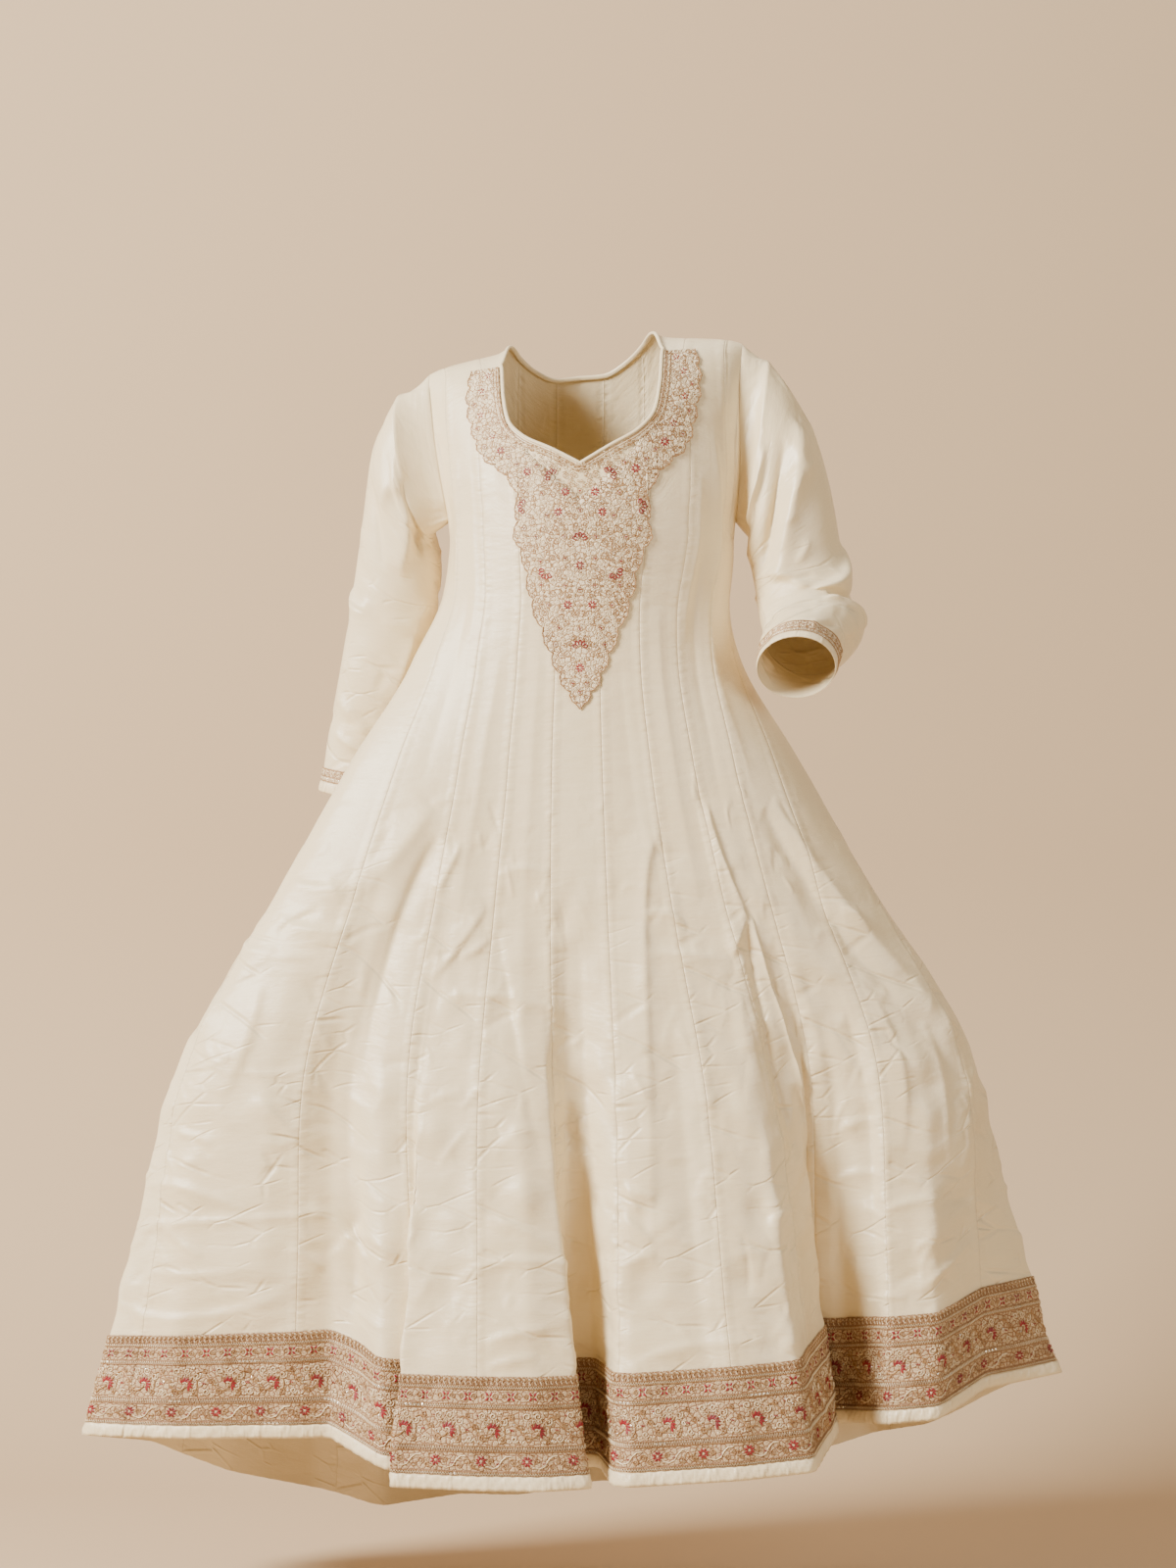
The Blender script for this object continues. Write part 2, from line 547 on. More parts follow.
def smallWrinkles():
    # Short shallow ones, mostly level or slanting, thickest low on the skirt.
    rows = []
    for _ in range(creases["wrinkleCount"]):
        s, t = rng.uniform(-4.9, 13.1), 0.26 + 0.72 * rng.uniform(0, 1) ** 0.75
        leans = [rng.normal(0, 0.30), rng.normal(0, 0.30), rng.normal(0.95, 0.25), rng.normal(-0.95, 0.25)]
        lie = rng.choice(leans)
        strength = 0.45 + 0.55 * t
        length = rng.uniform(0.020, 0.085) * strength
        ds = length / 2 * math.cos(lie) / float(kaliWidthAt(t))
        dt = length / 2 * math.sin(lie) / creases["skirtLength"]
        bow = rng.normal(0, 0.004)
        width = rng.uniform(3.5, 7.5)
        depth = rng.uniform(0.25, 1.1) * strength * rng.choice([1, 1, -1])
        skew = rng.uniform(-0.5, 0.5)
        across = s + bow / creases["kaliSpan"]
        rows.append((s - ds, t - dt, across, t + bow, s + ds, t + dt, width, depth, skew))
    return rows


def softField(shape, cells, seed):
    # Smooth noise on a grid that closes on itself across.
    source = np.random.default_rng(seed).normal(size=(cells[0] + 3, cells[1]))
    rows = np.linspace(0, cells[0], shape[0], endpoint=False)
    columns = np.linspace(0, cells[1], shape[1], endpoint=False)
    i, j = rows.astype(int), columns.astype(int)
    a, b = ease(rows - i)[:, None], ease(columns - j)[None]

    def pick(di, dj):
        return source[np.ix_(i + di, (j + dj) % cells[1])]

    top = pick(0, 0) * (1 - b) + pick(0, 1) * b
    return top * (1 - a) + (pick(1, 0) * (1 - b) + pick(1, 1) * b) * a


print("form: laying out the cloth")
perKali = form["columnsPerKali"]
columnCount = perKali * form["kaliCount"]
aroundS = -4.5 + np.arange(columnCount) / perKali
skirtLines = bodyPoint(aroundS[None], np.linspace(0, 1, 9)[:, None])
straightLength = np.linalg.norm(np.diff(skirtLines, axis=0), axis=-1).sum(0)
borderTop = 1 - (form["borderHeight"] + form["hemEdge"]) / straightLength
upperV = np.linspace(-1, 0, form["upperSteps"], endpoint=False)
skirtV = np.linspace(0, 1, form["skirtSteps"], endpoint=False)[:, None] * borderTop
borderV = borderTop + np.linspace(0, 1, form["borderSteps"] + 1)[:, None] * (1 - borderTop)
bodyV = np.vstack((np.repeat(upperV[:, None], columnCount, axis=1), skirtV, borderV))
smoothBody = bodyPoint(aroundS[None], bodyV)
smoothNormals = gridNormals(smoothBody, closed=True)

print("form: pressing in the creases")
relief = np.zeros(bodyV.shape)
for row in creaseRows + smallWrinkles():
    addCrease(relief, aroundS, bodyV, row)
swell = softField(relief.shape, creases["swellCells"], 3)
relief += creases["swell"] * swell * ease((bodyV - 0.2) / 0.5)
yokeHalves, yokeHeights = ([row[column] for row in yokeRows] for column in (1, 2))
underYoke = np.interp(smoothBody[..., 2], yokeHeights, yokeHalves, left=-0.1)
fromMiddle = np.abs(smoothBody[..., 0])
halfRound = form["kaliCount"] / 2
inFront = np.abs((aroundS + halfRound) % form["kaliCount"] - halfRound) < halfRound / 2
relief *= 1 - ease((underYoke + creases["yokeClear"] - fromMiddle) / creases["yokeFade"]) * inFront
fromSeam = np.abs((aroundS + 1) % 1 - 0.5) * kaliWidthAt(bodyV)
openSeam = 1 - ease((underYoke + creases["seamClear"] - fromMiddle) / creases["seamClear"]) * inFront
relief -= creases["seamDip"] * openSeam * np.exp(-((fromSeam / creases["seamWidth"]) ** 2))
relief *= ease((bodyV + 1) / creases["shoulderFade"])
body = smoothBody + smoothNormals * relief[..., None]
bodyNormals = gridNormals(body, closed=True)


# Materials.
class Value:
    # A shader socket that takes part in sums.
    def __init__(self, look, socket):
        self.look = look
        self.socket = socket

    def sum(self, operation, *others):
        values = {0: self}
        values.update({k + 1: other for k, other in enumerate(others)})
        return self.look.add("ShaderNodeMath", {"operation": operation}, values)

    def __add__(self, other):
        return self.sum("ADD", other)

    __radd__ = __add__

    def __mul__(self, other):
        return self.sum("MULTIPLY", other)

    __rmul__ = __mul__

    def __sub__(self, other):
        return self.sum("SUBTRACT", other)

    def __rsub__(self, other):
        return self.look.add("ShaderNodeMath", {"operation": "SUBTRACT"}, {0: other, 1: self})

    def sin(self):
        return self.sum("SINE")

    def above(self, low, high):
        # 0 below low, 1 above high, eased between.
        settings = {"interpolation_type": "SMOOTHSTEP"}
        return self.look.add("ShaderNodeMapRange", settings, {0: self, 1: low, 2: high})


class Look:
    # A material on its own node tree.
    def __init__(self, name, **constants):
        self.material = bpy.data.materials.new(name)
        self.material.use_nodes = True
        self.tree = self.material.node_tree
        self.shader = self.tree.nodes["Principled BSDF"]
        for socket, value in constants.items():
            self.shader.inputs[socket.replace("_", " ")].default_value = value

    def add(self, kind, settings=None, values=None, out=0):
        node = self.tree.nodes.new(kind)
        for name, value in (settings or {}).items():
            if name == "stops":
                while len(node.color_ramp.elements) < len(value):
                    node.color_ramp.elements.new(0.5)
                for element, (place, colour) in zip(node.color_ramp.elements, value):
                    element.position = place
                    element.color = (*colour, 1.0)
            else:
                setattr(node, name, value)
        for key, value in (values or {}).items():
            if isinstance(value, Value):
                self.tree.links.new(value.socket, node.inputs[key])
            elif isinstance(value, tuple) and len(value) == 3 and node.inputs[key].type == "RGBA":
                node.inputs[key].default_value = (*value, 1.0)
            else:
                node.inputs[key].default_value = value
        return Value(self, node.outputs[out])

    def feed(self, **links):
        for name, value in links.items():
            self.tree.links.new(value.socket, self.shader.inputs[name.replace("_", " ")])

    def blend(self, share, first, second):
        return self.add("ShaderNodeMix", {"data_type": "RGBA"}, {0: share, 6: first, 7: second}, out=2)

    def noise(self, place, scale, detail=2.0, rough=0.5):
        return self.add(
            "ShaderNodeTexNoise", {}, {"Vector": place, "Scale": scale, "Detail": detail, "Roughness": rough}
        )

    def stretched(self, place, size):
        # The place divided by a grain's own size on each axis.
        scale = tuple(1 / length for length in size)
        return self.add("ShaderNodeVectorMath", {"operation": "MULTIPLY"}, {0: place, 1: scale})

    def parts(self, place):
        # u and v of a UV place.
        split = self.tree.nodes.new("ShaderNodeSeparateXYZ")
        self.tree.links.new(place.socket, split.inputs[0])
        return Value(self, split.outputs[0]), Value(self, split.outputs[1])

    def warped(self, place, reach, size):
        # The place pushed about by a slow noise.
        push = self.add("ShaderNodeTexNoise", {}, {"Vector": place, "Scale": 1 / size, "Detail": 1.0}, out=1)
        centred = self.add("ShaderNodeVectorMath", {"operation": "SUBTRACT"}, {0: push, 1: (0.5, 0.5, 0.5)})
        moved = self.add("ShaderNodeVectorMath", {"operation": "SCALE"}, {0: centred, "Scale": reach})
        return self.add("ShaderNodeVectorMath", {"operation": "ADD"}, {0: place, 1: moved})

    def turned(self, place, angle):
        settings = {"rotation_type": "Z_AXIS"}
        return self.add("ShaderNodeVectorRotate", settings, {"Vector": place, "Angle": angle})

    def edges(self, place, size):
        # Distance from the nearest edge between rounded cells.
        settings = {"feature": "DISTANCE_TO_EDGE", "voronoi_dimensions": "2D"}
        return self.add("ShaderNodeTexVoronoi", settings, {"Vector": place, "Scale": 1 / size})

    def bump(self, height, distance, strength=1.0, under=None):
        values = {"Height": height, "Distance": distance, "Strength": strength}
        if under is not None:
            values["Normal"] = under
        return self.add("ShaderNodeBump", {}, values)


def silkLook(name, crushed, puckers=0.0):
    # crushed holds how far down the cloth the pressed creases start and where they are full.
    silk = {"light": (0.85, 0.715, 0.465), "warm": (0.77, 0.60, 0.335), "rough": 0.34, "weave": 0.0009}
    look = Look(name, Specular_IOR_Level=0.5, Sheen_Weight=0.20, Sheen_Roughness=0.35)
    look.shader.inputs["Sheen Tint"].default_value = (1.0, 0.92, 0.74, 1.0)
    uv = look.add("ShaderNodeUVMap", {"uv_map": "cloth"})
    seam = look.add("ShaderNodeAttribute", {"attribute_name": "fromSeam"}, out=2)
    u, v = look.parts(uv)
    slub = look.noise(look.stretched(uv, (0.05, 0.0011, 1.0)), 1.0, 3.0, 0.6)
    warp = look.noise(look.stretched(uv, (0.0009, 0.09, 1.0)), 1.0, 2.0, 0.5)
    cloudy = look.noise(look.stretched(uv, (0.12, 0.16, 1.0)), 1.0, 3.0, 0.55)
    weave = (u * (2 * math.pi / silk["weave"])).sin() * (v * (2 * math.pi / silk["weave"])).sin()
    crumple = look.noise(look.stretched(uv, (0.050, 0.020, 1.0)), 1.0, 4.0, 0.55)
    lower = (v * -1).above(*crushed)
    wideLie = look.turned(look.warped(uv, 0.035, 0.20), 0.30)
    wide = look.edges(look.stretched(wideLie, (0.150, 0.050, 1.0)), 1.0)
    wideCrease = (1 - wide.above(0.0, 0.075)) * look.noise(uv, 9.0, 2.0).above(0.49, 0.62)
    closeLie = look.turned(look.warped(uv, 0.010, 0.07), -0.30)
    close = look.edges(look.stretched(closeLie, (0.060, 0.022, 1.0)), 1.0)
    closeCrease = (1 - close.above(0.0, 0.10)) * look.noise(uv, 14.0, 2.0).above(0.52, 0.62)
    pucker = look.noise(look.stretched(uv, (0.05, 0.0065, 1.0)), 1.0, 1.0, 0.4)
    nearSeam = 1 - seam.above(0.001, 0.012)
    stitch = 1 - seam.above(0.0003, 0.0011)
    warmth = cloudy.above(0.35, 0.75) * 0.35 + slub.above(0.45, 0.75) * 0.25
    colour = look.blend(warmth, silk["light"], silk["warm"])
    colour = look.blend(stitch * 0.30, colour, (0.66, 0.53, 0.34))
    relief = look.bump(weave * 0.5 + slub * 2.2 + warp * 1.2, 0.00012, 0.45)
    relief = look.bump(crumple + wide.above(0.0, 0.5) * lower * 0.8, 0.0026, 0.6, relief)
    relief = look.bump((wideCrease * 1.1 + closeCrease * 0.6) * lower * -1, 0.0016, 0.9, relief)
    relief = look.bump(pucker * nearSeam - stitch * 0.25, 0.0020, 0.8, relief)
    if puckers:
        gathers = look.noise(look.stretched(uv, (0.014, 0.05, 1.0)), 1.0, 2.0).above(0.45, 0.75)
        relief = look.bump(gathers, puckers, 0.7, relief)
    roughness = slub * 0.12 + cloudy * 0.10 + (silk["rough"] - 0.11)
    look.feed(Base_Color=colour, Roughness=roughness, Normal=relief)
    return look.material


def laceLook(name, cream, tan, dense):
    # Ground of the embroidery: cream lobes outlined in tan thread, and close tan rows in the braids.
    lace = {"lobe": 0.0058, "petal": 0.0026, "row": 0.0017, "chain": 0.0019}
    look = Look(name, Specular_IOR_Level=0.5)
    uv = look.add("ShaderNodeUVMap", {"uv_map": "cloth"})
    u, v = look.parts(uv)
    place = look.warped(uv, 0.0024, 0.006)
    lobes = look.edges(place, lace["lobe"])
    petals = look.edges(look.warped(uv, 0.0012, 0.003), lace["petal"])
    share = (1 - lobes.above(0.03, 0.12)) * 1.1 + (1 - petals.above(0.04, 0.16)) * 0.40
    rows = (v * (2 * math.pi / lace["row"])).sin() * 0.5 + 0.5
    slant = ((u + v * 0.9) * (2 * math.pi / lace["chain"])).sin() * 0.5 + 0.5
    hatch = slant * 0.6 + rows * 0.5
    depth = v * -1
    for top, bottom in dense:
        inside = depth.above(top - 0.0004, top + 0.0004) - depth.above(bottom - 0.0004, bottom + 0.0004)
        share = share * (1 - inside * 0.8) + inside * (hatch.above(0.2, 0.9) * 0.6 + 0.30)
    patchy = look.noise(look.stretched(uv, (0.012, 0.012, 1.0)), 1.0, 2.0)
    knots = look.noise(look.stretched(uv, (0.0009, 0.0009, 1.0)), 1.0, 2.0, 0.6)
    colour = look.blend((share + patchy * 0.25 + knots * 0.2 - 0.22).above(0.0, 1.0), cream, tan)
    height = lobes.above(0.0, 0.3) * 0.8 + petals.above(0.0, 0.3) * 0.5 + hatch * 0.3 + knots * 0.4
    relief = look.bump(height, 0.0008, 0.85)
    look.feed(Base_Color=colour, Roughness=knots * -0.2 + 0.62, Normal=relief)
    return look.material


def threadLook(name, colour, shade, rough, metallic):
    look = Look(name, Metallic=metallic, Specular_IOR_Level=0.6)
    place = look.add("ShaderNodeTexCoord", out=3)
    twist = look.noise(look.stretched(place, (0.0012, 0.0012, 0.0012)), 1.0, 2.0)
    age = look.noise(look.stretched(place, (0.03, 0.03, 0.03)), 1.0, 2.0)
    tint = look.blend((twist + age - 0.5).above(0.25, 0.75), shade, colour)
    look.feed(Base_Color=tint, Roughness=twist * 0.25 + (rough - 0.12), Normal=look.bump(twist, 0.0003, 0.6))
    return look.material


print("materials")
braidBands = ((0.0056, 0.0150), (0.0300, 0.0372), (0.0765, 0.0845), (0.1035, 0.1110))
silkMaterial = silkLook("ivory silk", (0.42, 0.80))
sleeveSilk = silkLook("sleeve silk", (-0.20, 0.45))
hemSilk = silkLook("hem silk", (1.0, 2.0), puckers=0.0022)
borderLace = laceLook("border embroidery", (0.58, 0.415, 0.235), (0.21, 0.083, 0.026), braidBands)
yokeLace = laceLook("yoke embroidery", (0.90, 0.76, 0.52), (0.36, 0.185, 0.066), ())
cuffLace = laceLook("cuff embroidery", (0.74, 0.60, 0.40), (0.36, 0.20, 0.09), ())
goldThread = threadLook("tan gold thread", (0.45, 0.255, 0.105), (0.27, 0.13, 0.048), 0.45, 0.25)
paleThread = threadLook("cream gold thread", (0.86, 0.71, 0.47), (0.66, 0.49, 0.28), 0.40, 0.15)
redThread = threadLook("madder red thread", (0.31, 0.002, 0.010), (0.15, 0.001, 0.004), 0.55, 0.0)
sequinMaterial = threadLook("silver sequins", (1.0, 0.97, 0.90), (0.86, 0.80, 0.68), 0.15, 0.7)


# Making cloth pieces.
def addCloth(name, points, cloth, material, wall=0.0005, closed=False, flip=False, fromSeam=None):
    # points is a grid, cloth its places on the flat cut in metres. The wall goes inwards.
    rows, columns = points.shape[:2]
    if closed:
        points = np.concatenate((points, points[:, :1]), axis=1)
        columns += 1
    mesh = bpy.data.meshes.new(name)
    index = np.arange(rows * columns).reshape(rows, columns)
    a, b = index[:-1, :-1], index[:-1, 1:]
    c, d = index[1:, 1:], index[1:, :-1]
    quads = np.stack((a, d, c, b) if not flip else (a, b, c, d), -1).reshape(-1, 4)
    mesh.from_pydata(points.reshape(-1, 3).tolist(), [], quads.tolist())
    layer = mesh.uv_layers.new(name="cloth")
    loops = np.empty(len(mesh.loops), np.int32)
    mesh.loops.foreach_get("vertex_index", loops)
    layer.data.foreach_set("uv", cloth.reshape(-1, 2)[loops].astype(np.float32).ravel())
    spread = mesh.attributes.new("fromSeam", "FLOAT", "POINT")
    values = np.full(rows * columns, 1.0) if fromSeam is None else fromSeam.ravel()
    spread.data.foreach_set("value", values.astype(np.float32))
    mesh.materials.append(material)
    piece = bpy.data.objects.new(name, mesh)
    bpy.context.scene.collection.objects.link(piece)
    if closed:
        weld = piece.modifiers.new("close", "WELD")
        weld.merge_threshold = 0.00002
    mesh.shade_smooth()
    if wall:
        thick = piece.modifiers.new("wall", "SOLIDIFY")
        thick.thickness = wall
        thick.offset = -1
    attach(piece, "root")
    return piece


def clothPlaces(points):
    # Where each point of a grid lies on the flat cut: across from the middle column, and down.
    across = np.linalg.norm(np.diff(points, axis=1), axis=-1)
    u = np.concatenate((np.zeros((len(points), 1)), across.cumsum(1)), 1)
    u -= u[:, u.shape[1] // 2][:, None]
    down = np.linalg.norm(np.diff(points, axis=0), axis=-1)
    v = np.concatenate((np.zeros((1, points.shape[1])), -down.cumsum(0)), 0)
    v = np.repeat(v.mean(1)[:, None], points.shape[1], axis=1)
    return np.stack((u, v), -1)


def gridArea(points):
    a, b = points[:-1, :-1], points[:-1, 1:]
    c, d = points[1:, 1:], points[1:, :-1]
    cross = np.cross(c - a, d - b)
    return float(np.linalg.norm(cross, axis=-1).sum() / 2)


def cutSize(points):
    # Widest across, and the mean length down.
    across = np.linalg.norm(np.diff(points, axis=1), axis=-1).sum(1).max()
    down = np.linalg.norm(np.diff(points, axis=0), axis=-1).sum(0).mean()
    return float(across), float(down)


def kaliName(k):
    names = ["centre", "inner", "middle", "outer", "side"]
    middle = k - 4
    face, away = ("front", middle) if middle <= 4 else ("back", 9 - middle)
    side = "" if away == 0 else ("_right" if away > 0 else "_left")
    return f"kali_{face}_{names[abs(away)]}{side}"


def makeKalis():
    for k in range(form["kaliCount"]):
        columns = np.arange(k * perKali, (k + 1) * perKali + 1) % columnCount
        points = body[:, columns]
        share = np.abs(np.linspace(-0.5, 0.5, perKali + 1))
        fromSeam = (0.5 - share)[None] * np.linalg.norm(np.diff(points, axis=1), axis=-1).sum(1)[:, None]
        name = kaliName(k)
        cloth = clothPlaces(points)
        piece = addCloth(f"silk_{name}", points, cloth, silkMaterial, wall=0, fromSeam=fromSeam)
        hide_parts(name)
        width, length = cutSize(points)
        round(gridArea(points), 4)


print("kalis")
makeKalis()


# The hem: embroidered border and plain bound edge.
def hemRows(low, high, steps):
    # The cloth's own points between two depths below the border's top, in metres.
    whole = form["borderHeight"] + form["hemEdge"]
    rows = np.linspace(low, high, steps + 1) / whole * form["borderSteps"]
    first = len(body) - form["borderSteps"] - 1
    i = np.minimum(rows.astype(int), form["borderSteps"] - 1)
    part = (rows - i)[:, None, None]
    points = body[first + i] * (1 - part) + body[first + i + 1] * part
    normals = bodyNormals[first + i] * (1 - part) + bodyNormals[first + i + 1] * part
    return points, unit(normals)


def hemLength(points):
    steps = np.linalg.norm(points - np.roll(points, -1, axis=1), axis=-1)
    return steps[len(points) // 2]


def makeHem():
    hem = {
        "wall": 0.0007,
        "borderLift": 0.0012,
        "edgeLift": 0.0016,
        "edgePuff": 0.0012,
        "edgeDrop": 0.0012,
        "edgeRipple": 0.0007,
        "borderSteps": 22,
        "edgeSteps": 6,
    }
    whole = form["borderHeight"] + form["hemEdge"]
    half = columnCount // 2
    pieces = {}
    for kind, low, high, steps, material in (
        ("border", 0.0, form["borderHeight"], hem["borderSteps"], borderLace),
        ("edge", form["borderHeight"], whole + hem["edgeDrop"], hem["edgeSteps"], hemSilk),
    ):
        points, normals = hemRows(low, min(high, whole), steps)
        lift = np.full(len(points), hem["borderLift"])
        if kind == "edge":
            around = np.linspace(0, 1, len(points))
            lift = hem["edgeLift"] + hem["edgePuff"] * np.sin(math.pi * around) ** 0.6
            down = unit(points[-1] - points[0])
            points[-1] = points[-1] + down * hem["edgeDrop"]
        waves = np.sin(np.arange(columnCount) * 1.9 + np.arange(len(points))[:, None] * 1.1)
        ripple = hem["edgeRipple"] * waves
        lifted = points + normals * (lift[:, None] + (ripple if kind == "edge" else 0))[..., None]
        lengths = hemLength(points)
        for face, first in (("front", 0), ("back", half)):
            columns = np.arange(first, first + half + 1) % columnCount
            grid = lifted[:, columns]
            along = np.concatenate(([0], lengths[columns[:-1]].cumsum()))
            down = -np.linspace(0, high - low, len(points))
            cloth = np.stack(np.broadcast_arrays(along[None], down[:, None]), -1)
            name = f"hem_{kind}_{face}"
            piece = addCloth(f"sewn_{name}", grid, cloth, material, wall=hem["wall"])
            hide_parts(name)
            size = (round(float(along[-1]), 3), round(high - low, 3))
            pieces[kind, face] = (piece, size)
    return pieces


print("hem")
hemPieces = makeHem()


# The sleeves.
leftSleeveRows = [
    # outerX, outerY, outerZ, innerX, innerY, innerZ, halfDepth
    (-0.211, 0.000, -0.042, -0.177, 0.000, -0.208, 0.040),
    (-0.233, 0.008, -0.080, -0.175, 0.008, -0.216, 0.042),
    (-0.247, 0.016, -0.124, -0.169, 0.018, -0.226, 0.044),
    (-0.257, 0.026, -0.182, -0.165, 0.030, -0.250, 0.043),
    (-0.273, 0.042, -0.284, -0.172, 0.052, -0.308, 0.040),
    (-0.289, 0.060, -0.370, -0.186, 0.072, -0.385, 0.037),
    (-0.304, 0.076, -0.446, -0.200, 0.090, -0.458, 0.035),
    (-0.3085, 0.080, -0.477, -0.205, 0.095, -0.489, 0.035),
    (-0.3115, 0.082, -0.493, -0.207, 0.097, -0.505, 0.035),
    (-0.3145, 0.084, -0.505, -0.208, 0.099, -0.517, 0.035),
]
rightSleeveRows = [
    (0.222, 0.002, -0.002, 0.198, 0.000, -0.210, 0.041),
    (0.250, 0.002, -0.040, 0.197, -0.002, -0.220, 0.044),
    (0.277, 0.000, -0.092, 0.196, -0.005, -0.230, 0.046),
    (0.296, 0.002, -0.160, 0.201, -0.008, -0.246, 0.047),
    (0.308, 0.008, -0.232, 0.207, -0.016, -0.274, 0.048),
    (0.322, 0.010, -0.292, 0.212, -0.034, -0.298, 0.050),
    (0.332, -0.002, -0.325, 0.215, -0.052, -0.313, 0.0500),
    (0.318, -0.035, -0.350, 0.214, -0.078, -0.328, 0.0480),
    (0.297, -0.066, -0.366, 0.211, -0.092, -0.3375, 0.0470),
    (0.291, -0.080, -0.378, 0.209, -0.103, -0.3485, 0.0465),
    (0.288, -0.090, -0.386, 0.208, -0.110, -0.3565, 0.0465),
]

sleeveCreases = {
    # u round the sleeve (0 shoulder, 0.25 front, 0.5 underarm), level, three places, mm, mm, skew
    "left": [
        (0.36, 1.6, 0.33, 2.8, 0.26, 4.4, 12, 4.0, 0.4),
        (0.42, 1.3, 0.40, 2.4, 0.34, 3.8, 9, -3.0, 0.4),
        (0.30, 1.2, 0.25, 2.0, 0.20, 3.2, 10, 2.2, 0.3),
        (0.02, 4.8, 0.08, 5.0, 0.15, 4.9, 6, 2.4, 0.5),
        (0.05, 6.2, 0.14, 6.4, 0.24, 6.7, 5, 1.8, 0.5),
        (0.08, 6.7, 0.16, 6.9, 0.26, 7.1, 5, 1.8, 0.5),
        (0.40, 4.6, 0.34, 5.2, 0.30, 6.2, 9, 2.4, 0.3),
        (0.10, 3.0, 0.16, 3.6, 0.20, 4.4, 9, -1.8, 0.3),
        (0.70, 2.0, 0.75, 3.4, 0.72, 4.8, 12, 3.0, 0.3),
        (0.85, 4.4, 0.78, 4.8, 0.70, 4.7, 7, 2.4, 0.5),
        (0.80, 6.0, 0.72, 6.2, 0.62, 6.1, 7, 2.0, 0.5),
        (0.60, 1.5, 0.64, 2.6, 0.62, 3.8, 9, -2.8, 0.4),
    ],
    "right": [
        (0.42, 1.2, 0.34, 1.5, 0.24, 1.4, 8, 3.2, 0.5),
        (0.10, 2.6, 0.26, 3.6, 0.36, 5.2, 15, 4.5, 0.3),
        (0.18, 2.4, 0.32, 3.2, 0.42, 4.4, 11, -3.6, 0.3),
        (0.04, 4.9, 0.16, 5.6, 0.28, 6.0, 10, 4.2, 0.4),
        (0.02, 5.5, 0.14, 6.2, 0.26, 6.5, 9, -3.6, 0.4),
        (0.06, 7.3, 0.16, 7.1, 0.27, 7.2, 8, 2.8, 0.5),
        (0.10, 8.0, 0.20, 7.8, 0.30, 7.9, 6, 2.2, 0.5),
        (0.40, 4.6, 0.34, 5.2, 0.30, 5.8, 8, 2.6, 0.4),
        (0.88, 1.6, 0.80, 2.8, 0.76, 4.2, 13, 3.4, 0.3),
        (0.95, 4.2, 0.88, 4.9, 0.80, 5.2, 9, 3.0, 0.4),
        (0.94, 6.6, 0.84, 6.4, 0.74, 6.6, 8, 2.6, 0.4),
        (0.62, 1.6, 0.66, 2.8, 0.64, 4.2, 10, -3.2, 0.4),
    ],
}


def sleeveForm(rows, side, around, levels):
    # Grid of the sleeve: level 0 is the armhole, level k + 1 is row k of the table.
    indexed = [(k, *row) for k, row in enumerate(rows)]
    at = [curveThrough(indexed, column) for column in range(1, 8)]
    row = np.maximum(levels - 1, 0.0)
    here = np.stack([f(row) for f in at], -1)
    ahead = np.stack([f(np.minimum(row + 0.3, len(rows) - 1)) for f in at], -1)
    behind = np.stack([f(np.maximum(row - 0.3, 0)) for f in at], -1)
    outer, inner = here[:, :3], here[:, 3:6]
    run = (ahead - behind)[:, :3] + (ahead - behind)[:, 3:6]
    forward = unit(np.cross(run, outer - inner) * side) * here[:, 6:7]
    angle = 2 * math.pi * around[None, :, None]
    centre, out = (outer + inner)[:, None] / 2, (outer - inner)[:, None] / 2
    tube = centre + out * np.cos(angle) + forward[:, None] * np.sin(angle)
    first, last = form["armhole"]
    hole = bodyPoint(side * (first + (last - first) * (around % 1.0)), np.full(len(around), -1.0))
    part = np.minimum(levels, 1.0)[:, None, None] * np.array((1.0, 0.0, 1.0))
    part[..., 1] = np.minimum(levels, 1.0)[:, None] ** 2
    return hole[None] + (tube - hole[None]) * part


